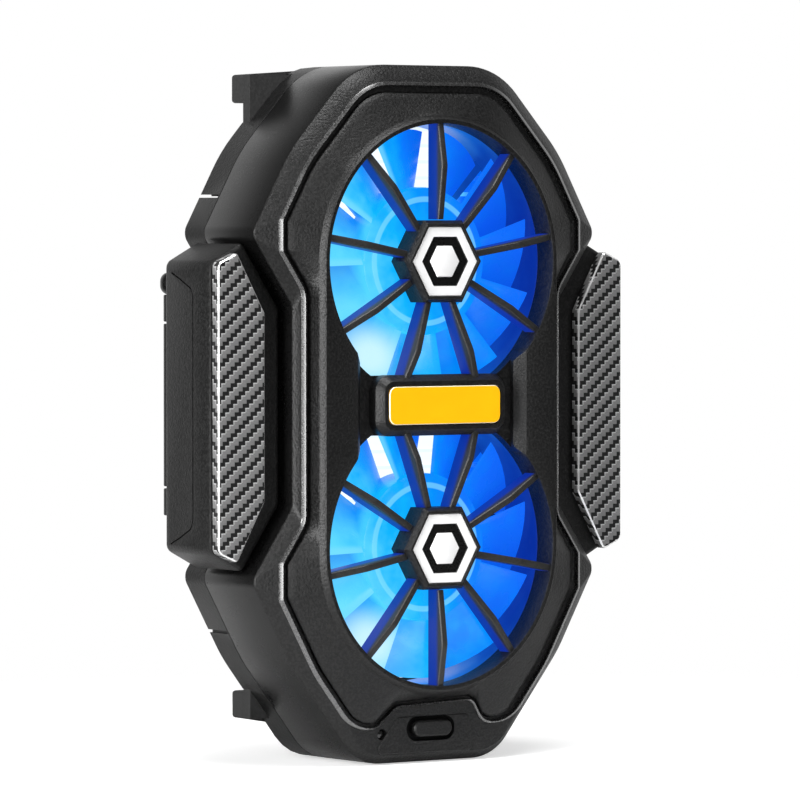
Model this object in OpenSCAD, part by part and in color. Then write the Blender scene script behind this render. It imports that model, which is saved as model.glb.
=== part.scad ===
// Phone cooling fan: a clip-on cooler with two fans, a thermoelectric cold plate and spring-loaded arms.
// Inside each module X runs to the right, Y runs from the front plateau back to the phone,
// and Z is measured from the middle between the two fans.

/* [Body outline] */
// Width across the shoulders
body_w = 61.8; // [59:0.1:66]
// Width at the waist, between the two side arms
waist_w = 48.2; // [47.4:0.1:51]
// Middle of the body to its top edge
head_h = 50.2; // [49:0.1:54]
// Middle of the body to its bottom edge
foot_h = 53; // [52:0.1:57]
// Half width of the top edge, before its corners are rounded
head_half = 13; // [11:0.1:15]
// Half width of the bottom edge, before its corners are rounded
foot_half = 12.4; // [11:0.1:15]
// Middle of the body to where the shoulder turns into the slanted side
shoulder_z = 26; // [25:0.1:28]
// Length of the straight edge at each shoulder
shoulder_l = 1.3; // [1:0.1:2]
// Middle of the body to the end of the straight waist
waist_z = 14.7; // [12:0.1:16]
// Half width of the knee in each slanted side
knee_half = 24.5; // [24:0.1:26]
// Middle of the body to the knee in each slanted side
knee_z = 37.5; // [36:0.1:39]
// Wall of the casing
wall = 1.8; // [1.4:0.1:2.2]

/* [Depths] */
// Front plateau back to the rim of the middle shell
rim_y = 4.4; // [4:0.1:5.5]
// Rim of the middle shell back to the seam with the rear cover
shell_d = 12.9; // [12.8:0.1:14]
// Depth of the rear cover
cover_d = 5.1; // [5:0.1:6]
// Height of the rear pads and the cold plate above the rear plate
pad_rise = 3.3; // [3:0.1:4]
// Thickness of the rear plate
rear_plate_t = 1.8; // [1.6:0.1:2]
// Thickness of the rear cover's floor
floor_t = 1.6; // [1.2:0.1:1.6]

/* [Front] */
// Radius of each fan opening
opening_r = 20.35; // [19.5:0.05:20.6]
// Middle of the body to each fan axis
fan_z = 21.2; // [20.9:0.1:21.5]
// Radius of the round ends of the raised plateau
plateau_r = 21.6; // [21.4:0.1:21.8]
// Half width of the neck that joins the two openings
neck_half = 14; // [13.2:0.1:15]
// Radius of each hexagonal hub, to its corners
hub_r = 7; // [6.4:0.1:8]
// Height of each hub above the plateau
hub_rise = 0.7; // [0.4:0.1:1]
// Ribs in each grille
rib_count = 9; // [7:2:11]
// Width of a rib
rib_w = 1.1; // [0.8:0.1:1.4]
// Length of the badge's yellow plate
badge_l = 20.3; // [18:0.1:21]
// Height of the badge's yellow plate
badge_h = 5.7; // [5:0.1:6.2]

/* [Button] */
// Length of the button
button_l = 6.9; // [6:0.1:8]
// Height of the button
button_h = 2.4; // [2:0.1:2.8]
// Bottom edge up to the middle of the button
button_z = 5; // [4.6:0.1:5.2]
// Travel of the button
button_travel = 0.5; // [0.3:0.05:0.55]
// Radius of the indicator light
light_r = 0.65; // [0.5:0.05:0.8]

/* [Fans] */
// Blades on each impeller
blade_count = 11; // [7:1:13]
// Radius of the impeller's cup
cup_r = 11; // [10:0.1:12]
// Gap between the blade tips and the duct
tip_gap = 0.65; // [0.4:0.05:1]
// Angle between each blade and the fan's axis, in degrees
blade_pitch = 57; // [35:1:60]
// Thickness of a blade
blade_t = 0.7; // [0.5:0.1:1]
// Depth of each fan
fan_d = 7.6; // [7.2:0.1:7.7]
// Radius of the fan shaft
shaft_r = 0.75; // [0.6:0.05:0.9]

/* [Cooling stack] */
// Side of each square thermoelectric module
module_w = 25; // [22:0.5:25.5]
// Thickness of each thermoelectric module
module_t = 3.2; // [3:0.1:3.4]
// Width of the cold plate
cold_w = 36.4; // [34:0.1:36.8]
// Height of the cold plate
cold_h = 76; // [70:0.5:76]
// Fin thickness of the heat sink
fin_t = 0.6; // [0.4:0.1:0.8]
// Fin spacing of the heat sink
fin_pitch = 2.4; // [2:0.1:3]

/* [Arms] */
// Width across the two closed arms
arms_w = 73.8; // [72:0.1:78]
// Travel of each arm
arm_travel = 11; // [8:0.5:12]
// Middle of an arm to the end of its outer face
arm_half = 21.1; // [20:0.1:22]
// Middle of an arm to its inner corner
arm_top = 24.1; // [23.6:0.1:24.3]
// Front of the trim behind the plateau
trim_y = 4.65; // [4.4:0.05:5]
// Thickness of the trim
trim_t = 1.5; // [1.2:0.1:1.8]
// Width of the trim between its outer edge and its inner edge
trim_w = 8.3; // [7.5:0.1:9]
// Half length of the trim's inner edge
trim_half = 13.7; // [12:0.1:15]
// Length of each folding claw, from its pin to its tip
claw_l = 13.7; // [13:0.1:13.8]
// Width of each claw
claw_w = 24; // [20:0.5:25]
// Thickness of each claw
claw_t = 1.85; // [1.6:0.05:2]
// How far the lip stands out of the claw
lip_h = 1.75; // [1.2:0.05:1.85]
// Radius of the claw's pin
claw_pin_r = 0.7; // [0.6:0.05:0.8]

/* [Hidden] */
$fn = 48;
// Points on each rounded corner of an outline, less one
corner_steps = 4;
// Clearances: a running fit, a sliding fit, and pieces that only pass each other
run_gap = 0.04;
slide_gap = 0.15;
pass_gap = 0.3;

// Depths that follow from the driving ones
seam_y = rim_y + shell_d;
back_y = seam_y + cover_d;
phone_y = back_y + pad_rise;
plate_y = back_y - rear_plate_t;
floor_y = plate_y - floor_t;
fan_y = 3.9;
fan_back_y = fan_y + fan_d;
module_y = seam_y - 0.4;
sink_base_t = 1.6;
sink_y = fan_back_y + pass_gap;
module_back_y = module_y + module_t;
tongue_y = seam_y + slide_gap;
tongue_t = floor_y - 0.2 - tongue_y;
centre_y = (phone_y - hub_rise) / 2;

// Corner radii of the body's outline
foot_r = 8;
knee_r = 25;
shoulder_r = 2;
waist_r = 2.5;
head_r = 12;

// Right half of the body's outline, from the bottom edge up
half_outline = [
    [foot_half, -foot_h],
    [knee_half, -knee_z],
    [body_w / 2, -shoulder_z],
    [body_w / 2, shoulder_l - shoulder_z],
    [waist_w / 2, -waist_z],
    [waist_w / 2, waist_z],
    [body_w / 2, shoulder_z - shoulder_l],
    [body_w / 2, shoulder_z],
    [knee_half, knee_z],
    [head_half, head_h]
];
half_radii = [
    foot_r, knee_r, shoulder_r, shoulder_r, waist_r,
    waist_r, shoulder_r, shoulder_r, knee_r, head_r
];
// 1 where the outline's corner points out, -1 where it points in
half_bend = [1, 1, 1, 1, -1, -1, 1, 1, 1, 1];

// How far the bead and the grille plate's edge lie inside the outline, for each edge of its right half.
// The edges are two slants, shoulder, notch, waist, notch, shoulder, two slants and the end.
bead_in = [2.3, 2.3, 3.4, 1.7, 0.65, 1.7, 3.4, 2.3, 2.3, 2.5];
plate_in = [3.9, 3.9, 5, 3.1, 2.15, 3.1, 5, 3.9, 3.9, 4.1];
ledge_w = 1;
// Least corner radius on the rings of the front
front_least_r = 1;

// Rounded outlines

function unit(v) = v / norm(v);
function left_of(v) = [-v.y, v.x];
function mirrored(pts) = [for (i = [len(pts) - 1 : -1 : 0]) [-pts[i].x, pts[i].y]];
function reversed(list) = [for (i = [len(list) - 1 : -1 : 0]) list[i]];

// Both halves of a closed outline, and of a list with one value for each of its corners
function both(half) = concat(half, mirrored(half));
function both_values(half) = concat(half, reversed(half));

// One value for each edge of a closed outline: the last one of the half is the top edge
function edge_values(half) =
    let (n = len(half))
    concat(half, [for (i = [n - 2 : -1 : 0]) half[i]], [half[n - 1]]);

// A ring with its long edges split, so that no step is longer than the one given
function split_edges(ring, step) = [
    for (i = [0 : len(ring) - 1])
    let (a = ring[i], b = ring[(i + 1) % len(ring)], n = ceil(norm(b - a) / step))
    for (k = [0 : n - 1]) mix(a, b, k / n)
];

// Half width of the body's outline, before its corners are rounded, at a height on one of its slanted sides
function side_x(z) = [
    for (i = [0 : len(half_outline) - 2])
    let (a = half_outline[i], b = half_outline[i + 1])
    if (z >= a.y && z < b.y) a.x + (b.x - a.x) * (z - a.y) / (b.y - a.y)
][0];

// The same value for each edge of the body's outline
function even_in(d) = [for (i = half_outline) d];
function mix(a, b, share) = a + (b - a) * share;

// Corner i of an outline whose edges have each moved inwards
function moved_corner(pts, inwards, i) =
    let (
        n = len(pts),
        before = (i + n - 1) % n,
        u = left_of(unit(pts[i] - pts[before])),
        v = left_of(unit(pts[(i + 1) % n] - pts[i])),
        a = pts[i] * u + inwards[before],
        b = pts[i] * v + inwards[i],
        det = u.x * v.y - u.y * v.x
    )
    [(a * v.y - b * u.y) / det, (u.x * b - v.x * a) / det];
function moved(pts, inwards) = [for (i = [0 : len(pts) - 1]) moved_corner(pts, inwards, i)];

// The arc that rounds corner i
function corner_arc(pts, r, i) =
    let (
        n = len(pts),
        u = unit(pts[(i + n - 1) % n] - pts[i]),
        v = unit(pts[(i + 1) % n] - pts[i]),
        half = acos(u * v) / 2,
        centre = pts[i] + unit(u + v) * r / sin(half),
        first = pts[i] + u * r / tan(half) - centre,
        last = pts[i] + v * r / tan(half) - centre,
        from = atan2(first.y, first.x),
        turn = (atan2(last.y, last.x) - from + 540) % 360 - 180
    )
    [for (k = [0 : corner_steps]) let (a = from + turn * k / corner_steps) centre + r * [cos(a), sin(a)]];
function rounded(pts, radii) = [for (i = [0 : len(pts) - 1]) each corner_arc(pts, radii[i], i)];

// The body's rounded outline with its edges moved inwards, one distance for each edge of its right half
function body_ring(half_in, least = 0.1) =
    let (
        radii = [for (i = [0 : len(half_radii) - 1]) max(least, half_radii[i] - half_bend[i] * half_in[i])]
    )
    rounded(moved(both(half_outline), edge_values(half_in)), both_values(radii));

// A rounded rectangle as a ring of points
function box_ring(w, h, r) =
    rounded([[w / 2, -h / 2], [w / 2, h / 2], [-w / 2, h / 2], [-w / 2, -h / 2]], [r, r, r, r]);

// Solids from outlines

// Draws a flat outline in X and Z, from depth y0 back to depth y1
module slab(y0, y1) {
    translate([0, y1, 0]) rotate([90, 0, 0]) linear_extrude(y1 - y0) children();
}

// A rod along Y
module rod(r, y0, y1, x = 0, z = 0) {
    translate([x, y1, z]) rotate([90, 0, 0]) cylinder(r = r, h = y1 - y0);
}

// A box between two corners
module block(low, high) {
    translate(low) cube(high - low);
}

// A pill-shaped outline along X
module pill(l, h) {
    square([l - h, h], center = true);
    for (side = [-1, 1]) translate([side * (l - h) / 2, 0]) circle(d = h);
}

function mean(pts) = [for (i = pts) 1] * pts / len(pts);

// A skin over rings of points, each [ring, depth], from the front back.
// A loop of rings closes on itself. A stack has end caps of triangles round the middle of each end ring.
module skin(rings, loop = false) {
    n = len(rings[0][0]);
    m = len(rings);
    ends = [rings[0], rings[m - 1]];
    points = concat(
        [for (ring = rings, p = ring[0]) [p.x, ring[1], p.y]],
        [for (ring = ends) let (p = mean(ring[0])) [p.x, ring[1], p.y]]
    );
    sides = [
        for (k = [0 : loop ? m - 1 : m - 2], i = [0 : n - 1])
        let (
            next = (i + 1) % n,
            behind = ((k + 1) % m) * n,
            a = k * n + i,
            b = k * n + next,
            c = behind + next,
            d = behind + i
        )
        each [[a, b, c], [a, c, d]]
    ];
    caps = [
        for (i = [0 : n - 1])
        each [[(i + 1) % n, i, m * n], [(m - 1) * n + i, (m - 1) * n + (i + 1) % n, m * n + 1]]
    ];
    if (loop)
        polyhedron([for (i = [0 : m * n - 1]) points[i]], [for (f = sides) reversed(f)], convexity = 8);
    else
        polyhedron(points, concat(sides, caps), convexity = 8);
}

// Each fan, mirrored about the middle or only moved to its axis, each side, and the place in the part
module at_fan(upper) {
    mirror([0, 0, upper ? 0 : 1]) translate([0, 0, fan_z]) children();
}
module at_axis(upper) {
    translate([0, 0, upper ? fan_z : -fan_z]) children();
}
module on_side(right) {
    mirror([right ? 0 : 1, 0, 0]) children();
}
module placed() {
    translate([0, -centre_y, foot_h]) children();
}

// Casing

shell_black = [0.07, 0.07, 0.075];
satin_black = [0.1, 0.1, 0.11];
bead_y = 2.6;
groove_y = 3.3;

// The flat panel round the button, in X and Z
button_mid = button_z - foot_h;
panel = [
    [-10.2, button_mid + 0.6],
    [-11.6, -foot_h + 2.4],
    [-9.5, -foot_h + 1],
    [7.6, -foot_h + 1],
    [6.6, button_mid + 2.6],
    [-7.4, button_mid + 2.6]
];
panel_y = 2.8;
panel_back_y = fan_y + 1.1;
light_x = -9;
light_z = button_mid - 0.6;
button_rim = 1;
flange_t = 0.6;
flange_y = 3.6;

module front_bezel() {
    color(shell_black)
    difference() {
        union() {
            skin([
                [body_ring(even_in(0)), rim_y],
                [body_ring(even_in(0.25)), rim_y - 0.45],
                [body_ring(bead_in * 0.78, front_least_r), groove_y - 0.2],
                [body_ring(bead_in * 0.88, front_least_r), bead_y],
                [body_ring(bead_in * 1.1, front_least_r), bead_y],
                [body_ring(bead_in * 1.2, front_least_r), groove_y],
                [body_ring(mix(bead_in, plate_in, 0.5), front_least_r), fan_y],
                [body_ring(plate_in + even_in(ledge_w), front_least_r), fan_y],
                [body_ring(plate_in + even_in(ledge_w), front_least_r), panel_back_y],
                [body_ring(even_in(wall + slide_gap)), panel_back_y],
                [body_ring(even_in(wall + slide_gap)), rim_y]
            ], loop = true);
            slab(panel_y, rim_y) polygon(panel);
            slab(panel_y, panel_back_y)
                intersection() {
                    polygon(panel);
                    polygon(body_ring(even_in(wall + 2 * slide_gap)));
                }
        }
        translate([0, 0, button_mid]) {
            slab(0, panel_back_y + 1) pill(button_l + 2 * slide_gap, button_h + 2 * slide_gap);
            slab(0, panel_y + 0.35) pill(button_l + 2.6 * button_rim, button_h + 1.6 * button_rim);
            slab(flange_y, panel_back_y + 1) pill(button_l + 2.4 * button_rim, button_h + 2.4 * button_rim);
        }
        rod(light_r + run_gap, 0, panel_back_y + 1, light_x, light_z);
    }
}

// Grille

plate_front_y = 2.5;
plateau_edge = 0.6;
plateau_step_y = 0.8;
plate_step = 2.2;
kink_r = 14.2;
rib_crest_y = -0.55;
rib_end_y = 0.5;
rib_back_y = 3;
hub_wall = 1.1;
bridge_y = 2.3;

// The grille plate's edge, and the plateau inside it: a slot shape round both fan axes
plate_ring = split_edges(body_ring(plate_in, front_least_r), plate_step);
function plateau_ring(r) = [
    for (p = plate_ring)
    let (axis = [0, max(-fan_z, min(fan_z, p.y))])
    axis + r * unit(p - axis)
];

module fan_openings() {
    for (side = [-1, 1]) translate([0, side * fan_z]) circle(opening_r, $fn = 96);
    square([2 * neck_half, fan_z], center = true);
}

// A rib's outline along its length and depth; it is highest at the kink
module rib() {
    from = hub_r - hub_wall;
    to = opening_r + 0.2;
    translate([0, 0, -rib_w / 2])
        linear_extrude(rib_w)
        polygon([
            [from, rib_end_y],
            [kink_r, rib_crest_y],
            [to, rib_end_y],
            [to, rib_back_y],
            [from, rib_back_y]
        ]);
}

badge_border = 0.75;
badge_slope = 0.9;
badge_front_y = -0.5;
badge_slope_y = 0.7;
badge_t = 0.6;
badge_base_l = badge_l + 2 * (badge_border + badge_slope);
badge_base_h = badge_h + 2 * (badge_border + badge_slope);
badge_base = box_ring(badge_base_l, badge_base_h, 2.4);

module front_grille() {
    color(shell_black)
    difference() {
        union() {
            difference() {
                skin([
                    [plateau_ring(plateau_r - plateau_edge), 0],
                    [plateau_ring(plateau_r), plateau_step_y],
                    [plate_ring, plate_front_y],
                    [plate_ring, fan_y]
                ]);
                slab(-1, fan_y + 1) fan_openings();
            }
            slab(bridge_y, fan_y) {
                polygon(badge_base);
                difference() {
                    square([2 * neck_half + 1, fan_z], center = true);
                    for (side = [-1, 1]) translate([0, side * fan_z]) circle(opening_r, $fn = 96);
                }
            }
            for (upper = [true, false]) at_fan(upper) {
                slab(-hub_rise, rib_back_y + 0.4) circle(hub_r, $fn = 6);
                for (i = [0 : rib_count - 1]) rotate([0, -90 - i * 360 / rib_count, 0]) rib();
            }
        }
        for (upper = [true, false]) at_fan(upper)
            slab(-hub_rise - 1, hub_cap_back_y) circle(hub_r - hub_wall, $fn = 6);
        slab(-1, bridge_y) polygon(badge_base);
        slab(0, fan_y + 1) polygon(moved(panel, [for (p = panel) -slide_gap]));
    }
}

hub_cap_y = 0.2 - hub_rise;
hub_cap_back_y = hub_cap_y + 0.9;

// A plain hexagonal medallion that fills the hub
module hub_cap(upper) {
    color("white")
    at_fan(upper) slab(hub_cap_y, hub_cap_back_y) circle(hub_r - hub_wall - run_gap, $fn = 6);
}

module badge_frame() {
    color(satin_black)
    difference() {
        skin([
            [box_ring(badge_l + 2 * badge_border, badge_h + 2 * badge_border, 1.6), badge_front_y],
            [badge_base, badge_slope_y],
            [badge_base, bridge_y]
        ]);
        slab(badge_front_y - 1, badge_front_y + badge_t) polygon(box_ring(badge_l, badge_h, 1.2));
    }
}

// The bare yellow plate
module badge_plate() {
    color("gold")
    slab(badge_front_y - 0.1, badge_front_y + badge_t)
        polygon(box_ring(badge_l - 2 * run_gap, badge_h - 2 * run_gap, 1.2));
}

// Button and light

module button() {
    color(satin_black)
    translate([0, 0, button_mid]) {
        slab(panel_y - 0.5, flange_y + 0.1) pill(button_l, button_h);
        slab(flange_y + 0.1, flange_y + 0.1 + flange_t)
            pill(button_l + 2 * button_rim, button_h + 2 * button_rim);
    }
}

module light_lens() {
    color("white") rod(light_r, panel_y - 0.1, board_y, light_x, light_z);
}

// Middle shell

screw_r = 0.9;
screw_l = 6;
screw_head_r = 1.9;
screw_head_t = 0.9;
cross_l = 2.2;
cross_w = 0.5;
boss_r = 2.5;
boss_in = 4.4;
screw_heights = [cold_h / 2 + 3.3, -cold_h / 2 - 2.4];
screw_places = [for (z = screw_heights) [side_x(z) - boss_in, z]];
vent_count = 5;
vent_pitch = 4.4;
vent_h = 2.4;

module at_screws() {
    for (side = [-1, 1], place = screw_places) translate([side * place.x, 0, place.y]) children();
}

module mid_shell() {
    color(satin_black)
    difference() {
        union() {
            slab(rim_y, seam_y)
                difference() {
                    polygon(body_ring(even_in(0)));
                    polygon(body_ring(even_in(wall)));
                }
            intersection() {
                at_screws() rod(boss_r, rim_y + 3, seam_y);
                slab(rim_y, seam_y) polygon(body_ring(even_in(0.5)));
            }
        }
        at_screws() rod(screw_r, seam_y - screw_l - 2, seam_y + 1);
        for (i = [0 : vent_count - 1])
            block(
                [-body_w, sink_y, (i - (vent_count - 1) / 2) * vent_pitch - vent_h / 2],
                [body_w, module_y - sink_base_t, (i - (vent_count - 1) / 2) * vent_pitch + vent_h / 2]
            );
        translate([0, board_back_y + usb_t / 2, -foot_h])
            cube([usb_w + 2 * slide_gap, usb_t + 2 * slide_gap, 4 * wall], center = true);
    }
}

// Rear cover, rear plate and pads

plate_half = cold_w / 2 + 2.3;
plate_top = cold_h / 2 + 10.9;
plate_low = -cold_h / 2 - 8.9;
bay_half = claw_w / 2 + pass_gap;
bay_in = cold_w / 2 + pass_gap;
tongue_half = 9.2;
slot_w = 0.45;
// A slot through the rim above, and a shallow nick below: [height, depth]
rim_slots = [[30.6, 1.2 * wall], [-33.8, 0.5]];
post_w = 4;
post_x = 16.5;
post_z = 32;

module rear_plate_outline(grow = 0) {
    translate([-plate_half - grow, plate_low - grow])
        square([2 * (plate_half + grow), plate_top - plate_low + 2 * grow]);
}

module module_windows(grow) {
    for (side = [-1, 1])
        translate([0, side * fan_z]) square(module_w + 2 * grow, center = true);
}

module rear_cover() {
    color(shell_black)
    difference() {
        union() {
            slab(seam_y, back_y)
                difference() {
                    polygon(body_ring(even_in(0)));
                    polygon(body_ring(even_in(wall)));
                }
            slab(floor_y, plate_y) polygon(body_ring(even_in(wall - 0.2)));
            for (x = [-post_x, post_x], z = [-post_z, post_z])
                block(
                    [x - post_w / 2, module_y, z - post_w / 2],
                    [x + post_w / 2, floor_y + 0.1, z + post_w / 2]
                );
        }
        slab(floor_y - 1, back_y + 1) module_windows(slide_gap);
        slab(plate_y, back_y + 1) rear_plate_outline(0.1);
        at_screws() rod(screw_r + 0.2, seam_y - 1, back_y + 1);
        rod(pinion_pin_r, seam_y, back_y);
        for (right = [true, false]) on_side(right) {
            block([bay_in, plate_y, -bay_half], [body_w, back_y + 1, bay_half]);
            block(
                [waist_w / 2 - wall - 1, seam_y - 1, -tongue_half - pass_gap],
                [body_w, floor_y, tongue_half + pass_gap]
            );
            for (slot = rim_slots)
                block(
                    [side_x(slot[0]) - slot[1], seam_y + 0.3, slot[0]],
                    [body_w, back_y + 1, slot[0] + slot_w]
                );
        }
    }
}

module rear_plate() {
    color(satin_black)
    difference() {
        slab(plate_y, back_y)
            difference() {
                rear_plate_outline();
                module_windows(slide_gap);
                for (side = [-1, 1])
                    translate([side * plate_half, 0])
                    square([2 * (plate_half - bay_in), 2 * bay_half], center = true);
            }
        at_screws() rod(screw_r + 0.2, plate_y - 1, back_y + 1);
        at_screws() rod(screw_head_r + 0.1, back_y - screw_head_t - 0.1, back_y + 1);
    }
}

// A rear pad whose outer edge rises towards the middle
module end_pad(edge, h, arch) {
    flat = plate_half / 2.2;
    color([0.05, 0.05, 0.05])
    slab(back_y, phone_y)
        polygon(rounded(
            both([[plate_half, edge - h], [plate_half, edge], [flat, edge + arch]]),
            both_values([0.5, 0.5, 4])
        ));
}

pad_h = 4.2;
top_arch = 0.75;
low_arch = 1.9;

module top_pad() end_pad(plate_top, pad_h, top_arch);
module bottom_pad() mirror([0, 0, 1]) end_pad(-plate_low, pad_h - 0.2, low_arch);

module rear_screws() {
    color("silver")
    at_screws() {
        rod(screw_r, seam_y - screw_l, back_y - screw_head_t - 0.1);
        difference() {
            rod(screw_head_r, back_y - screw_head_t - 0.1, back_y - 0.1);
            for (turn = [0, 90])
                translate([0, back_y, 0])
                rotate([0, turn, 0])
                cube([cross_l, screw_head_t, cross_w], center = true);
        }
    }
}

// Fans

duct_wall = 1;
bearing_r = 1.6;
tube_r = 2.6;
cup_wall = 1.2;
cup_y = fan_y + 0.7;
cup_back_y = fan_back_y - 1.5;
base_t = 0.8;
base_r = cup_r - 1.6;
stator_r = cup_r - cup_wall - 0.8;
stator_y = cup_y + 2.2;
strut_w = 1.8;
strut_count = 4;
blade_y = fan_y + 0.8;
blade_d = 5.6;
coil_count = 4;
coil_half = 1.4;
pole_half = 4;
pole_t = 1.4;

module fan_frame(upper) {
    color([0.12, 0.3, 0.75])
    at_fan(upper)
    difference() {
        union() {
            slab(fan_y, fan_back_y)
                difference() {
                    circle(opening_r + duct_wall, $fn = 96);
                    circle(opening_r, $fn = 96);
                }
            rod(base_r, fan_back_y - base_t, fan_back_y);
            rod(tube_r, stator_y - 0.4, fan_back_y);
            for (i = [0 : strut_count - 1])
                rotate([0, 45 + i * 360 / strut_count, 0])
                block(
                    [base_r - 1, fan_back_y - base_t, -strut_w / 2],
                    [opening_r + duct_wall / 2, fan_back_y, strut_w / 2]
                );
        }
        rod(bearing_r, fan_y, fan_back_y + 1);
        block([-body_w, 0, -2 * fan_z], [body_w, seam_y, slide_gap / 2 - fan_z]);
    }
}

module fan_bearing(upper) {
    color("goldenrod")
    at_fan(upper)
    difference() {
        rod(bearing_r, stator_y - 0.4, fan_back_y);
        rod(shaft_r + run_gap, fan_y, fan_back_y + 1);
    }
}

module fan_stator(upper) {
    color([0.72, 0.4, 0.2])
    at_fan(upper)
    difference() {
        union() {
            rod(tube_r + 1.2, stator_y, fan_back_y - base_t);
            for (i = [0 : coil_count - 1])
                rotate([0, i * 360 / coil_count, 0]) {
                    block(
                        [tube_r, stator_y, -coil_half],
                        [stator_r - pole_t / 2, fan_back_y - base_t - 0.3, coil_half]
                    );
                    intersection() {
                        block(
                            [stator_r - pole_t, stator_y + 0.8, -pole_half],
                            [stator_r + 1, fan_back_y - base_t - 0.9, pole_half]
                        );
                        rod(stator_r, stator_y, fan_back_y);
                    }
                }
        }
        rod(tube_r, fan_y, fan_back_y + 1);
    }
}

module fan_shaft(upper) {
    color("silver")
    at_fan(upper) rod(shaft_r, cup_y + 0.4, fan_back_y - 0.3);
}

// All the blades: flat, pitched, cut to the tip circle and let into the cup's wall
module blades() {
    tip_r = opening_r - tip_gap;
    difference() {
        intersection() {
            rod(tip_r, blade_y, blade_y + blade_d);
            for (i = [0 : blade_count - 1])
                rotate([0, i * 360 / blade_count, 0])
                translate([tip_r / 2, blade_y + blade_d / 2, 0])
                rotate([-blade_pitch, 0, 0])
                cube([tip_r + 1, 3 * blade_d, blade_t], center = true);
        }
        rod(cup_r - cup_wall / 2, fan_y, fan_back_y);
    }
}

module impeller(upper) {
    color([0.1, 0.45, 1])
    at_axis(upper) {
        difference() {
            rod(cup_r, cup_y, cup_back_y);
            difference() {
                rod(cup_r - cup_wall, cup_y + 1, cup_back_y + 1);
                rod(tube_r - 0.6, cup_y, stator_y - 0.4 - pass_gap);
            }
            rod(shaft_r, cup_y + 0.4, cup_back_y);
        }
        blades();
    }
}

// Cooling stack

sink_w = 41.6;
sink_h = 82.6;

// Cut back from the shell's wall and its screw bosses
module heat_sink() {
    color("silver")
    difference() {
        intersection() {
            union() {
                slab(module_y - sink_base_t, module_y) square([sink_w, sink_h], center = true);
                for (z = [fin_t / 2 - sink_h / 2 : fin_pitch : sink_h / 2 - fin_t / 2])
                    slab(sink_y, module_y - sink_base_t + 0.1)
                    translate([0, z]) square([sink_w, fin_t], center = true);
            }
            slab(sink_y - 1, seam_y) polygon(body_ring(even_in(wall + pass_gap)));
        }
        at_screws() rod(boss_r + pass_gap, sink_y - 1, seam_y + 1);
    }
}

module peltier(upper) {
    color("white")
    at_fan(upper) slab(module_y, module_back_y) square(module_w, center = true);
}

module cold_plate() {
    color("silver") {
        slab(back_y, phone_y) polygon(box_ring(cold_w, cold_h, 3));
        slab(module_back_y, back_y) module_windows(0);
    }
}

// Electronics

board_y = 7.6;
board_t = 1;
board_back_y = board_y + board_t;
board_w = 20;
board_h = 7.8;
usb_w = 8.94;
usb_t = 3.26;
usb_l = 7.3;
usb_wall = 0.35;
switch_w = 4;
led_x = 17.5;
led_w = 5;
led_half = 4;
lamp_w = 1.8;

module circuit_board() {
    color("darkgreen")
    intersection() {
        block([-board_w / 2, board_y, wall - foot_h], [board_w / 2, board_back_y, wall + board_h - foot_h]);
        slab(board_y - 1, board_back_y + 1) polygon(body_ring(even_in(wall + slide_gap)));
    }
}

module tact_switch() {
    color("dimgray")
    translate([0, 0, button_mid]) {
        block([-switch_w / 2, board_y - 2, -1.6], [switch_w / 2, board_y, 1.6]);
        rod(0.9, flange_y + 0.1 + flange_t + button_travel + 0.1, board_y - 1.9);
    }
}

module usb_socket() {
    color("silver")
    translate([0, board_back_y + usb_t / 2, -foot_h]) {
        difference() {
            linear_extrude(usb_l) pill(usb_w, usb_t);
            translate([0, 0, -1]) linear_extrude(usb_l) pill(usb_w - 2 * usb_wall, usb_t - 2 * usb_wall);
        }
        translate([0, 0, 0.6]) linear_extrude(usb_l - 1) square([usb_w - 2.2, 0.7], center = true);
    }
}

// Light board in the pocket beside the neck, with its two lamps
module led_board(right) {
    color("whitesmoke")
    on_side(right) {
        slab(fan_y, fan_y + 0.8) translate([led_x, 0]) square([led_w, 2 * led_half], center = true);
        for (z = [-led_half / 2, led_half / 2])
            slab(fan_y + 0.8, fan_y + 1.7) translate([led_x, z]) square(lamp_w, center = true);
    }
}

// Arms, with their racks, pinion and springs

gear_m = 0.6;
gear_teeth = 10;
gear_r = gear_m * gear_teeth / 2;
gear_pitch = PI * gear_m;
addendum = 0.8 * gear_m;
dedendum = 1.25 * gear_m;
tooth_w = 0.38 * gear_pitch;
pressure = 20;
rack_back = gear_r + dedendum + 1.9;
pinion_pin_r = 0.9;

arm_y = trim_y + trim_t + 0.6;
arm_back_y = tongue_y + tongue_t;
arm_in = waist_w / 2 + 0.6;
arm_out = arms_w / 2;
arm_outline = [
    [arm_in, -waist_z + 0.3],
    [body_w / 2 + 0.3, -arm_top],
    [arm_out, -arm_half],
    [arm_out, arm_half],
    [body_w / 2 + 0.3, arm_top],
    [arm_in, waist_z - 0.3]
];
arm_radii = [1.5, 0.8, 1.5, 1.5, 0.8, 1.5];
trim_slope_x = arm_out - 3.4;
trim_slope_z = arm_half + 1.5;
trim_outline = [
    [arm_out - trim_w, -trim_half],
    [trim_slope_x, -trim_slope_z],
    [arm_out, -arm_half],
    [arm_out, arm_half],
    [trim_slope_x, trim_slope_z],
    [arm_out - trim_w, trim_half]
];
trim_radii = [1, 0.6, 1.2, 1.2, 0.6, 1];

// An outline with all its edges moved inwards, and its corners rounded
function inset_ring(pts, radii, d, least) =
    rounded(moved(pts, [for (p = pts) d]), [for (r = radii) max(least, r - d)]);
function arm_ring(d) = inset_ring(arm_outline, arm_radii, d, 0.4);
function trim_ring(d) = inset_ring(trim_outline, trim_radii, d, 0.3);

// One tooth on the pitch line, pointing along +Y of the flat outline
module tooth(height_up, height_down) {
    up = tooth_w / 2 - height_up * tan(pressure);
    down = tooth_w / 2 + height_down * tan(pressure);
    polygon([[-down, -height_down], [down, -height_down], [up, height_up], [-up, height_up]]);
}

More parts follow.
